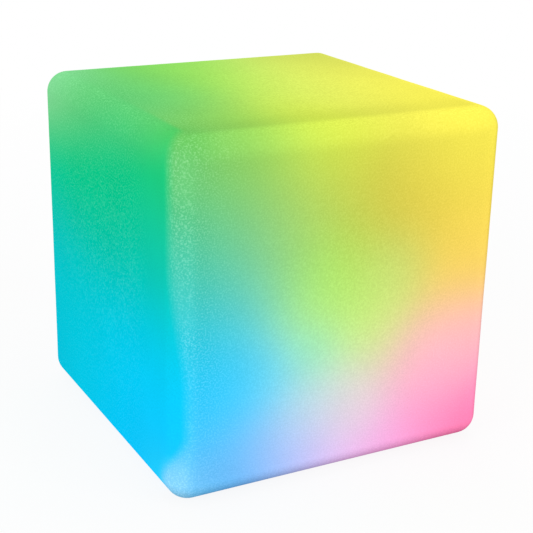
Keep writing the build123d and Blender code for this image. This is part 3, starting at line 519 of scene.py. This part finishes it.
lit_skin = vector_maths(tree, "ADD", lit_skin, scaled(tree, (1, 1, 1), specks))
lit_skin = vector_maths(tree, "MAXIMUM", lit_skin, (0, 0, 0))
# the glow's colours, with the painted highlights and shades, are painted into the base colour too; the
# shell's own colour is milky white
tree.links.new(scaled(tree, lit_skin, 1 - glow_share), surface.inputs["Base Color"])
tree.links.new(lit_skin, surface.inputs["Emission Color"])
surface.inputs["Emission Strength"].default_value = glow_share
surface.inputs["Specular IOR Level"].default_value = 0.0
tree.links.new(ramp(tree, fine, 0.2, 0.8, 0.5, 0.66), surface.inputs["Roughness"])
peel = add_node(tree, "ShaderNodeBump", {"Height": fine, "Distance": 0.0002, "Strength": 0.35})
tree.links.new(peel.outputs[0], surface.inputs["Normal"])

shell.data.materials.append(milky)
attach(shell, "cube")
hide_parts("cube_shell")


# ---------------------------------------------------------------- rubber feet, seals and cap anchor
# Four plugs of dark grey rubber, pressed into pockets in the shell's base. The same compound is used
# for the charging cap, its anchor and the seals, and its face is matt from the mould.
rubber_dark = (0.030, 0.031, 0.034)
rubber_light = (0.056, 0.057, 0.062)
rubber_grain = 0.0007
cap_grip_pitch = 0.0009


def between(tree, factor, first, second):
    """A colour between two others, by a factor from 0 to 1."""
    ends = [c if isinstance(c, bpy.types.NodeSocket) else (*c, 1.0) for c in (first, second)]
    mix = add_node(tree, "ShaderNodeMix", {0: factor, 6: ends[0], 7: ends[1]}, data_type="RGBA")
    return mix.outputs[2]


def moulded(name, dark, light, grain_size, grain_depth, roughness, cloud_size=0.02):
    """A moulded plastic or rubber: soft tones between two colours, and its mould's fine texture."""
    finish, tree, surface, place = new_finish(name)
    grain = noise(tree, place, grain_size, detail=4.0, roughness=0.65)
    cloud = noise(tree, place, cloud_size, detail=3.0)
    mixed = maths(tree, "MULTIPLY_ADD", grain, 0.45, maths(tree, "MULTIPLY", cloud, 0.55))
    tone = between(tree, ramp(tree, mixed, 0.30, 0.70), dark, light)
    tree.links.new(tone, surface.inputs["Base Color"])
    sheen = ramp(tree, grain, 0.25, 0.75, roughness - 0.06, roughness + 0.06)
    tree.links.new(sheen, surface.inputs["Roughness"])
    texture = add_node(tree, "ShaderNodeBump", {"Height": grain, "Distance": grain_depth, "Strength": 0.6})
    tree.links.new(texture.outputs[0], surface.inputs["Normal"])
    return finish, tree, surface, place, tone, texture


def dress(finish, *names):
    """Puts a finish on CAD pieces, in place of the plain one that they come with."""
    for name in names:
        cad_nodes[name].data.materials.clear()
        cad_nodes[name].data.materials.append(finish)


rubber, tree, surface, place, tone, texture = moulded(
    "matt_grey_rubber", rubber_dark, rubber_light, rubber_grain, 0.00008, 0.78)
surface.inputs["Specular IOR Level"].default_value = 0.35
dress(rubber, "rubber_feet", "dome_seal", "jack_seal", "cap_anchor")

# ---------------------------------------------------------------- brass thread inserts
# Six turned and knurled brass inserts are moulded into the shell's bosses, and take the base screws.
knurl_pitch = 0.0008


def worked_metal(name, dark, light, smooth_at, rough_at, mark_size, stretch=(1, 1, 1), mark_depth=0.00002):
    """A bare or plated metal: fine marks, drawn out along the way it was worked, and dull patches."""
    finish, tree, surface, place = new_finish(name)
    marks = noise(tree, vector_maths(tree, "MULTIPLY", place, stretch), mark_size, detail=4.0, roughness=0.6)
    patches = noise(tree, place, 0.006, detail=3.0)
    worn = maths(tree, "MULTIPLY_ADD", marks, 0.5, maths(tree, "MULTIPLY", patches, 0.5))
    tree.links.new(between(tree, ramp(tree, worn, 0.3, 0.7), dark, light), surface.inputs["Base Color"])
    tree.links.new(ramp(tree, worn, 0.3, 0.7, rough_at, smooth_at), surface.inputs["Roughness"])
    surface.inputs["Metallic"].default_value = 1.0
    relief = add_node(tree, "ShaderNodeBump", {"Height": marks, "Distance": mark_depth, "Strength": 0.5})
    tree.links.new(relief.outputs[0], surface.inputs["Normal"])
    return finish, tree, surface, place, relief


brass, tree, surface, place, relief = worked_metal(
    "turned_brass", (0.48, 0.32, 0.12), (0.72, 0.52, 0.24), 0.24, 0.42, 0.0006, (1, 1, 5))
knurl_turns = add_node(tree, "ShaderNodeTexWave", {"Vector": place, "Scale": 1 / (knurl_pitch * 20)},
                       bands_direction="DIAGONAL")
knurl = add_node(tree, "ShaderNodeBump", {"Height": knurl_turns.outputs["Fac"], "Distance": 0.0001,
                                          "Strength": 0.5, "Normal": relief.outputs[0]})
tree.links.new(knurl.outputs[0], surface.inputs["Normal"])
dress(brass, "thread_inserts")

# ---------------------------------------------------------------- base housing and deck
# The flanged tub that hangs in the cube, and the deck that closes it under the lights. Both are
# injection moulded in white, with the fine spark texture of their moulds and a faint gate mark.
white_dark = (0.66, 0.66, 0.65)
white_light = (0.74, 0.74, 0.73)
spark_size = 0.0005
gate_radius = 0.0022

white_moulding, tree, surface, place, tone, texture = moulded(
    "spark_textured_white", white_dark, white_light, spark_size, 0.00005, 0.52, 0.05)
from_axis = vector_maths(tree, "MULTIPLY", place, (1, 1, 0))
axis_distance = maths(tree, "SQRT", vector_maths(tree, "DOT_PRODUCT", from_axis, from_axis))
gate_rim = ramp(tree, maths(tree, "ABSOLUTE", maths(tree, "SUBTRACT", axis_distance, gate_radius)),
                0.0001, 0.0004, 0.0, 1.0)
gate = add_node(tree, "ShaderNodeBump", {"Height": gate_rim, "Distance": 0.0002, "Strength": 0.6,
                                         "Normal": texture.outputs[0]})
tree.links.new(gate.outputs[0], surface.inputs["Normal"])
# painted shade darkens the gate mark's groove
shaded = between(tree, gate_rim, (0.52, 0.52, 0.51), tone)
tree.links.new(shaded, surface.inputs["Base Color"])
dress(white_moulding, "base_housing", "deck")

# ---------------------------------------------------------------- base gasket and button boot
# Soft milky silicone: the flat ring that seals the flange to the shell, and the boot that keeps
# water out of the switch. The boot grips the button's collar.
boot_low, boot_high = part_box("button_boot")
boot_middle = (boot_low + boot_high) / 2
hub_radius = 0.0034
hub_inside = 0.00922
# its outline from the hub's inside round the foot to the hub's top: radius and height in millimetres
boot_section = (
    (4.4, 8.72), (5.4, 8.22), (6.4, 7.72), (7.4, 7.22), (8.4, 6.72), (9.1, 6.36), (9.34, 6.16), (9.4, 5.8),
    (9.4, 0.2), (9.6, 0.0), (11.2, 0.0), (11.4, 0.2), (11.4, 0.6), (11.2, 0.8), (10.8, 0.86), (10.6, 1.1),
    (10.6, 6.9), (10.48, 7.26), (10.2, 7.54), (9.2, 7.98), (8.0, 8.48), (6.8, 8.98), (5.6, 9.48),
    (4.6, 9.90), (3.9, 10.19), (3.55, 10.33), (3.2, 10.4),
)

silicone, tree, surface, place, tone, texture = moulded(
    "milky_silicone", (0.50, 0.52, 0.52), (0.64, 0.66, 0.65), 0.0012, 0.00003, 0.46, 0.008)
surface.inputs["Subsurface Weight"].default_value = 0.25
surface.inputs["Subsurface Radius"].default_value = (0.003, 0.003, 0.003)
surface.inputs["Coat Weight"].default_value = 0.15
surface.inputs["Coat Roughness"].default_value = 0.35
dress(silicone, "base_gasket")

# the boot grows from the inside of its hub down to the foot, and up again on the outside
x, y = boot_middle.x, boot_middle.y
bpy.ops.mesh.primitive_circle_add(vertices=64, radius=hub_radius, fill_type="TRIFAN",
                                  location=(x, y, boot_low.z + hub_inside))
boot = bpy.context.object
boot.name = "silicone_boot"
bpy.ops.object.transform_apply()
shape(boot, "edges", lambda points: all((p - Vector((x, y, p.z))).length > hub_radius * 0.99 for p in points))
radius, height = hub_radius, hub_inside
for next_radius, next_height in boot_section:
    rise = next_height / 1000 - height
    size = next_radius / 1000 / radius
    bpy.ops.mesh.extrude_region_move(TRANSFORM_OT_translate={"value": (0, 0, rise)})
    bpy.ops.transform.resize(value=(size, size, 1), center_override=(x, y, 0))
    radius, height = next_radius / 1000, next_height / 1000
bpy.ops.mesh.edge_face_add()
bpy.ops.mesh.select_all(action="SELECT")
bpy.ops.mesh.normals_make_consistent(inside=False)
finish_shape()
bpy.ops.object.shade_smooth_by_angle(angle=radians(40))
boot.data.materials.append(silicone)
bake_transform(boot)
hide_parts("button_boot")

# ---------------------------------------------------------------- base screws
# Six zinc-plated pan-head screws with a cross drive hold the flange up to the thread inserts. The
# first is turned on its own axis in place, and the rest are copies round the cube's axis.
head_low, screw_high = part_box("base_screws")
head_height = 0.0025
head_round = 0.0011
shank_radius = 0.002
thread_pitch = 0.0007
thread_depth = 0.00022
drive_width = 0.0042
drive_slot = 0.00085
drive_depth = 0.0015
tip_taper = 0.0012

zinc, tree, surface, place, relief = worked_metal(
    "zinc_plate", (0.46, 0.48, 0.50), (0.68, 0.70, 0.72), 0.22, 0.40, 0.0004)
surface.inputs["Coat Weight"].default_value = 0.1
dress(zinc, "strap_screws", "board_screws", "led_board_screws", "dome_screws")

x, y = screw_places[0]
bpy.ops.mesh.primitive_cylinder_add(vertices=48, radius=head_radius, depth=head_height,
                                    location=(x, y, head_low.z + head_height / 2))
screw = bpy.context.object
screw.name = "base_screw_1"
bpy.ops.object.transform_apply()
shape(screw, "edges", lambda points: all(abs(p.z - head_low.z) < 1e-6 for p in points))
bpy.ops.mesh.bevel(offset=head_round, segments=6, profile=0.5, affect="EDGES")
# the shank grows out of the head's seat, in steps that follow its thread
shape(screw, "polygons", lambda points: all(abs(p.z - head_low.z - head_height) < 1e-6 for p in points))
bpy.ops.mesh.inset(thickness=head_radius - shank_radius)
shank_length = screw_high.z - head_low.z - head_height - tip_taper
turns = round(shank_length / thread_pitch)
narrow = (shank_radius - thread_depth) / shank_radius
for turn in range(turns):
    for size in (narrow, 1 / narrow):
        bpy.ops.mesh.extrude_region_move(TRANSFORM_OT_translate={"value": (0, 0, shank_length / turns / 2)})
        bpy.ops.transform.resize(value=(size, size, 1), center_override=(x, y, 0))
bpy.ops.mesh.extrude_region_move(TRANSFORM_OT_translate={"value": (0, 0, tip_taper)})
bpy.ops.transform.resize(value=(0.6, 0.6, 1), center_override=(x, y, 0))
finish_shape()
for size_x, size_y in ((drive_width, drive_slot), (drive_slot, drive_width)):
    bpy.ops.mesh.primitive_cube_add(size=1, location=(x, y, head_low.z + drive_depth / 2 - 0.001))
    bar = bpy.context.object
    bar.scale = (size_x, size_y, drive_depth + 0.002)
    bpy.ops.object.transform_apply()
    shape(bar, "polygons", lambda points: all(abs(p.z - head_low.z - drive_depth) < 1e-6 for p in points))
    bpy.ops.transform.resize(value=(0.55, 0.75, 1), center_override=(x, y, 0))
    finish_shape()
    cut_away(screw, bar)
bpy.ops.object.select_all(action="DESELECT")
screw.select_set(True)
bpy.context.view_layer.objects.active = screw
bpy.ops.object.shade_smooth_by_angle(angle=radians(35))
screw.data.materials.append(zinc)
base_screws = [screw]
for number in range(1, screw_count):
    copy = screw.copy()
    copy.data = screw.data.copy()
    copy.name = f"base_screw_{number + 1}"
    bpy.context.scene.collection.objects.link(copy)
    copy.data.transform(Matrix.Rotation(2 * pi * number / screw_count, 4, "Z"))
    base_screws.append(copy)
for piece in base_screws:
    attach(piece, "cube")
    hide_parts("base_screws")

# ---------------------------------------------------------------- black mouldings
# The cradle of the battery, the charging jack and the switch are moulded in black nylon, matt and
# slightly cloudy.
black_moulding, tree, surface, place, tone, texture = moulded(
    "black_nylon", (0.010, 0.010, 0.012), (0.022, 0.022, 0.025), 0.0006, 0.00004, 0.50)
dress(black_moulding, "cell_cradle", "charge_jack", "switch_body")

# ---------------------------------------------------------------- battery cells
# Two round cells in blue shrink sleeve. The sleeve turns over the edges and leaves the bright steel
# ends bare, and its film shows faint stretch lines round the cell.
cells_low, cells_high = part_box("battery_cells")
cells_middle = (cells_low + cells_high) / 2
sleeve_end = cells_high.x - 0.00004

sleeve, tree, surface, place = new_finish("blue_shrink_sleeve")
stretch_lines = noise(tree, vector_maths(tree, "MULTIPLY", place, (6, 1, 1)), 0.004, detail=4.0)
film = between(tree, ramp(tree, stretch_lines, 0.3, 0.7), (0.012, 0.085, 0.25), (0.020, 0.12, 0.33))
across = add_node(tree, "ShaderNodeSeparateXYZ", {0: vector_maths(tree, "ABSOLUTE", place)}).outputs[0]
bare_end = maths(tree, "GREATER_THAN", across, sleeve_end)
tree.links.new(between(tree, bare_end, film, (0.60, 0.59, 0.56)), surface.inputs["Base Color"])
tree.links.new(bare_end, surface.inputs["Metallic"])
tree.links.new(ramp(tree, stretch_lines, 0.3, 0.7, 0.24, 0.34), surface.inputs["Roughness"])
crease = add_node(tree, "ShaderNodeBump", {"Height": stretch_lines, "Distance": 0.00005, "Strength": 0.5})
tree.links.new(crease.outputs[0], surface.inputs["Normal"])
dress(sleeve, "battery_cells")

# ---------------------------------------------------------------- nickel strips, jack nut and contacts
# Bright nickel, rolled along the strip. Two pairs of spot welds hold each strip to its cells.
weld_radius = 0.0006
weld_spread = 0.0016
cell_half_pitch = 0.0095

nickel, tree, surface, place, relief = worked_metal(
    "rolled_nickel", (0.52, 0.50, 0.46), (0.74, 0.72, 0.67), 0.18, 0.34, 0.0005, (1, 0.2, 1))
dress(nickel, "jack_contacts", "jack_nut")

welded_nickel, tree, surface, place, relief = worked_metal(
    "spot_welded_nickel", (0.52, 0.50, 0.46), (0.74, 0.72, 0.67), 0.20, 0.36, 0.0005, (1, 0.2, 1))
weld = None
for cell in (-cell_half_pitch, cell_half_pitch):
    for side in (-weld_spread, weld_spread):
        centre = (0, cells_middle.y + cell + side, cells_middle.z)
        offset = vector_maths(tree, "MULTIPLY", vector_maths(tree, "SUBTRACT", place, centre), (0, 1, 1))
        away = maths(tree, "SQRT", vector_maths(tree, "DOT_PRODUCT", offset, offset))
        dent = ramp(tree, away, weld_radius * 0.5, weld_radius, 1.0, 0.0)
        weld = dent if weld is None else maths(tree, "MAXIMUM", weld, dent)
pit = add_node(tree, "ShaderNodeBump", {"Height": maths(tree, "SUBTRACT", 1.0, weld), "Distance": 0.0002,
                                        "Strength": 0.8, "Normal": relief.outputs[0]})
tree.links.new(pit.outputs[0], surface.inputs["Normal"])
plain = surface.inputs["Base Color"].links[0].from_socket
tree.links.new(between(tree, weld, plain, (0.22, 0.21, 0.20)), surface.inputs["Base Color"])
dress(welded_nickel, "nickel_strips")

# ---------------------------------------------------------------- cell strap
# A sprung steel strip bent over both cells, satin from its rolling.
spring_steel, tree, surface, place, relief = worked_metal(
    "satin_spring_steel", (0.40, 0.41, 0.43), (0.58, 0.60, 0.62), 0.30, 0.46, 0.0004, (6, 1, 1))
dress(spring_steel, "cell_strap")

# ---------------------------------------------------------------- circuit boards
# Glass-fibre boards: the control board under green solder mask, and the round light board under
# white. Tracks stand a little proud under the mask, and vias show as small tinned rings.
track_pitch = 0.0016
track_share = 0.16
via_share = 0.20


def circuit_board(name, mask, over_copper, roughness):
    """A board's finish: a mesh of square cells, each crossed by a track one way or the other."""
    finish, tree, surface, place = new_finish(name)
    cells = vector_maths(tree, "DIVIDE", place, (track_pitch,) * 3)
    corner = vector_maths(tree, "FLOOR", cells)
    centred = vector_maths(tree, "SUBTRACT", vector_maths(tree, "SUBTRACT", cells, corner), (0.5, 0.5, 0.5))
    flat = vector_maths(tree, "MULTIPLY", corner, (1, 1, 0))
    chance = add_node(tree, "ShaderNodeTexWhiteNoise", {"Vector": flat}).outputs["Value"]
    across = add_node(tree, "ShaderNodeSeparateXYZ", {0: vector_maths(tree, "ABSOLUTE", centred)}).outputs
    lengthwise = maths(tree, "LESS_THAN", across[1], track_share)
    crosswise = maths(tree, "LESS_THAN", across[0], track_share)
    along = maths(tree, "MULTIPLY", lengthwise, maths(tree, "LESS_THAN", chance, 0.55))
    over = maths(tree, "MULTIPLY", crosswise, maths(tree, "GREATER_THAN", chance, 0.45))
    track = maths(tree, "MAXIMUM", along, over)
    level = vector_maths(tree, "MULTIPLY", centred, (1, 1, 0))
    via_distance = maths(tree, "SQRT", vector_maths(tree, "DOT_PRODUCT", level, level))
    via = maths(tree, "MULTIPLY", maths(tree, "LESS_THAN", via_distance, via_share),
                maths(tree, "GREATER_THAN", chance, 0.9))
    glass = noise(tree, place, 0.004, detail=3.0)
    cloth = between(tree, ramp(tree, glass, 0.3, 0.7), mask, tuple(c * 1.12 for c in mask))
    tree.links.new(between(tree, via, between(tree, track, cloth, over_copper), (0.62, 0.61, 0.58)),
                   surface.inputs["Base Color"])
    tree.links.new(via, surface.inputs["Metallic"])
    sheen = ramp(tree, glass, 0.3, 0.7, roughness - 0.05, roughness + 0.05)
    tree.links.new(sheen, surface.inputs["Roughness"])
    relief = add_node(tree, "ShaderNodeBump", {"Height": maths(tree, "MAXIMUM", track, via),
                                               "Distance": 0.00004, "Strength": 0.6})
    tree.links.new(relief.outputs[0], surface.inputs["Normal"])
    return finish


dress(circuit_board("green_board", (0.010, 0.085, 0.030), (0.022, 0.150, 0.050), 0.30), "control_board")
dress(circuit_board("white_board", (0.72, 0.72, 0.70), (0.80, 0.80, 0.77), 0.36), "led_board")

# ---------------------------------------------------------------- chips, inductor and receiver
# Black epoxy packages with tinned feet at the board, a ferrite block for the charger, and the
# remote receiver, whose dark window lets only infrared light in.
board_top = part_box("control_board")[1].z
chip_foot = 0.0003

epoxy, tree, surface, place, tone, texture = moulded(
    "black_epoxy", (0.014, 0.014, 0.015), (0.030, 0.030, 0.032), 0.0003, 0.00003, 0.58, 0.004)
chip_height = add_node(tree, "ShaderNodeSeparateXYZ", {0: place}).outputs[2]
tinned = maths(tree, "LESS_THAN", chip_height, board_top + chip_foot)
tree.links.new(between(tree, tinned, tone, (0.60, 0.60, 0.58)), surface.inputs["Base Color"])
tree.links.new(tinned, surface.inputs["Metallic"])
dress(epoxy, "control_chips")

ferrite, tree, surface, place, tone, texture = moulded(
    "grey_ferrite", (0.035, 0.036, 0.038), (0.085, 0.086, 0.090), 0.0004, 0.00006, 0.66, 0.003)
dress(ferrite, "power_inductor")

dark_window, tree, surface, place, tone, texture = moulded(
    "infrared_window", (0.010, 0.006, 0.012), (0.020, 0.011, 0.022), 0.0015, 0.00001, 0.20, 0.005)
surface.inputs["Coat Weight"].default_value = 0.4
surface.inputs["Coat Roughness"].default_value = 0.08
dress(dark_window, "remote_receiver")

# ---------------------------------------------------------------- capacitors
# Aluminium cans on black bases, drawn and slightly satin.
can_base = 0.0009

aluminium, tree, surface, place, relief = worked_metal(
    "drawn_aluminium", (0.50, 0.51, 0.53), (0.70, 0.71, 0.73), 0.26, 0.40, 0.0004, (1, 1, 0.2))
can_height = add_node(tree, "ShaderNodeSeparateXYZ", {0: place}).outputs[2]
on_base = maths(tree, "LESS_THAN", can_height, board_top + can_base)
plain = surface.inputs["Base Color"].links[0].from_socket
tree.links.new(between(tree, on_base, plain, (0.012, 0.012, 0.013)), surface.inputs["Base Color"])
tree.links.new(maths(tree, "SUBTRACT", 1.0, on_base), surface.inputs["Metallic"])
dress(aluminium, "capacitors")

# ---------------------------------------------------------------- lead sockets
# Crimp sockets of natural nylon, warm white and semi-gloss.
nylon, tree, surface, place, tone, texture = moulded(
    "natural_nylon", (0.60, 0.57, 0.48), (0.72, 0.69, 0.60), 0.0008, 0.00002, 0.38, 0.006)
dress(nylon, "lead_sockets", "led_socket")

# ---------------------------------------------------------------- colour lights and charge indicator
# White light packages on the round board. In the well of each sits its clear lens, and each shows
# the colour that it throws on the shell's side of it. The indicator beside the button glows green.
lights_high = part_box("leds")[1].z
well_depth = 0.0005
lens_glow = 2.0
thrown_colours = (
    (0.000, (0.00, 0.77, 0.70)),
    (0.125, (0.06, 0.62, 1.00)),
    (0.250, (0.62, 0.90, 0.35)),
    (0.375, (1.00, 0.36, 0.62)),
    (0.500, (1.00, 0.66, 0.22)),
    (0.625, (0.90, 0.88, 0.26)),
    (0.750, (0.62, 0.44, 0.98)),
    (0.875, (0.26, 0.80, 0.48)),
)

package, tree, surface, place = new_finish("white_light_package")
coordinates = add_node(tree, "ShaderNodeSeparateXYZ", {0: place}).outputs
turn = maths(tree, "ARCTAN2", coordinates[1], coordinates[0])
turn = maths(tree, "MULTIPLY_ADD", turn, 1 / (2 * pi), 0.5)
hues = add_node(tree, "ShaderNodeValToRGB", {"Fac": turn})
stops = hues.color_ramp.elements
stops[0].position, stops[0].color = 0.0, (*as_light(thrown_colours[0][1]), 1)
stops[1].position, stops[1].color = 1.0, (*as_light(thrown_colours[0][1]), 1)
for position, colour in thrown_colours[1:]:
    stops.new(position).color = (*as_light(colour), 1)
well = maths(tree, "LESS_THAN", maths(tree, "ABSOLUTE", maths(
    tree, "SUBTRACT", coordinates[2], lights_high - well_depth)), well_depth * 0.4)
ceramic = noise(tree, place, 0.0008, detail=3.0)
white = between(tree, ceramic, (0.74, 0.73, 0.68), (0.82, 0.81, 0.77))
tree.links.new(between(tree, well, white, hues.outputs["Color"]), surface.inputs["Base Color"])
tree.links.new(between(tree, well, (0, 0, 0), hues.outputs["Color"]), surface.inputs["Emission Color"])
surface.inputs["Emission Strength"].default_value = lens_glow
tree.links.new(ramp(tree, ceramic, 0.3, 0.7, 0.22, 0.34), surface.inputs["Roughness"])
dress(package, "leds")

green_light, tree, surface, place, tone, texture = moulded(
    "green_indicator", (0.30, 0.62, 0.34), (0.38, 0.72, 0.42), 0.0006, 0.00001, 0.30, 0.003)
tree.links.new(tone, surface.inputs["Emission Color"])
surface.inputs["Emission Strength"].default_value = 1.0
dress(green_light, "indicator_led")

# ---------------------------------------------------------------- clear dome and indicator light pipe
# Both are moulded in clear acrylic. The dome is frosted inside, so that the packages blend, and the
# light pipe carries the indicator's glow down to the underside.
frosted_and_painted_highlight, tree, surface, place = new_finish("frosted_acrylic")
frost_and_painted_highlight = noise(tree, place, 0.0010, detail=4.0, roughness=0.6)
haze_patch = noise(tree, place, 0.02)
cloudy = between(tree, haze_patch, (0.84, 0.86, 0.86), (0.92, 0.94, 0.94))
tree.links.new(cloudy, surface.inputs["Base Color"])
tree.links.new(ramp(tree, frost_and_painted_highlight, 0.25, 0.75, 0.28, 0.44), surface.inputs["Roughness"])
surface.inputs["Transmission Weight"].default_value = 0.85
surface.inputs["IOR"].default_value = 1.49
frosting = add_node(tree, "ShaderNodeBump", {"Height": frost_and_painted_highlight, "Distance": 0.00004, "Strength": 0.4})
tree.links.new(frosting.outputs[0], surface.inputs["Normal"])
dress(frosted_and_painted_highlight, "light_dome")

light_pipe, tree, surface, place = new_finish("clear_light_pipe")
striae = noise(tree, vector_maths(tree, "MULTIPLY", place, (1, 1, 0.3)), 0.0008, detail=3.0)
tinge = between(tree, striae, (0.66, 0.80, 0.70), (0.80, 0.90, 0.82))
shine = between(tree, striae, (0.010, 0.16, 0.035), (0.020, 0.24, 0.060))
tree.links.new(tinge, surface.inputs["Base Color"])
tree.links.new(shine, surface.inputs["Emission Color"])
surface.inputs["Emission Strength"].default_value = 1.0
tree.links.new(ramp(tree, striae, 0.3, 0.7, 0.10, 0.20), surface.inputs["Roughness"])
surface.inputs["Transmission Weight"].default_value = 0.4
surface.inputs["IOR"].default_value = 1.49
dress(light_pipe, "indicator_lens")

# ---------------------------------------------------------------- charging cap
# One moulding of the feet's rubber: a round cap with a hollow plug, on a strap that bends beside it,
# with fine grip ribs across its finger tab.
cap_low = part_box("charge_cap")[0]
tab_length = 0.0042

cap_rubber, tree, surface, place, tone, texture = moulded(
    "ribbed_grey_rubber", rubber_dark, rubber_light, rubber_grain, 0.00008, 0.74)
surface.inputs["Specular IOR Level"].default_value = 0.35
cap_x = add_node(tree, "ShaderNodeSeparateXYZ", {0: place}).outputs[0]
on_tab = ramp(tree, cap_x, cap_low.x + tab_length - 0.0004, cap_low.x + tab_length, 1.0, 0.0)
swing = maths(tree, "SINE", maths(tree, "MULTIPLY", cap_x, 2 * pi / cap_grip_pitch))
ribs = add_node(tree, "ShaderNodeBump", {"Height": maths(tree, "MULTIPLY", swing, on_tab),
                                         "Distance": 0.00015, "Strength": 0.8, "Normal": texture.outputs[0]})
tree.links.new(ribs.outputs[0], surface.inputs["Normal"])
dress(cap_rubber, "charge_cap")

# ---------------------------------------------------------------- power button and switch plunger
# Pale grey, semi-gloss plastic. Fine turned rings from the mould's insert show on the button's face.
button_low, button_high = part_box("power_button")
button_middle = (button_low + button_high) / 2
ring_pitch = 0.0007

button_plastic, tree, surface, place, tone, texture = moulded(
    "pale_grey_plastic", (0.50, 0.51, 0.53), (0.58, 0.59, 0.61), 0.0009, 0.00001, 0.34)
offset = vector_maths(tree, "SUBTRACT", place, (button_middle.x, button_middle.y, 0))
offset = vector_maths(tree, "MULTIPLY", offset, (1, 1, 0))
away = maths(tree, "SQRT", vector_maths(tree, "DOT_PRODUCT", offset, offset))
rings = maths(tree, "SINE", maths(tree, "MULTIPLY", away, 2 * pi / ring_pitch))
turned = add_node(tree, "ShaderNodeBump", {"Height": rings, "Distance": 0.00002, "Strength": 0.5,
                                           "Normal": texture.outputs[0]})
tree.links.new(turned.outputs[0], surface.inputs["Normal"])
dress(button_plastic, "power_button", "switch_plunger")

# ---------------------------------------------------------------- leads
# Stranded wire in silicone insulation, soft and slightly dusty, coloured for what each carries.
insulations = (
    ("red", (0.28, 0.008, 0.006), (0.40, 0.016, 0.012), ("battery_lead_red", "led_lead_power")),
    ("black", (0.010, 0.010, 0.011), (0.024, 0.024, 0.026), ("battery_lead_black", "led_lead_ground")),
    ("green", (0.008, 0.110, 0.025), (0.016, 0.170, 0.045), ("led_lead_data",)),
)

for name, dark, light, leads in insulations:
    insulation = moulded(f"{name}_insulation", dark, light, 0.0006, 0.00003, 0.48, 0.004)[0]
    dress(insulation, *leads)
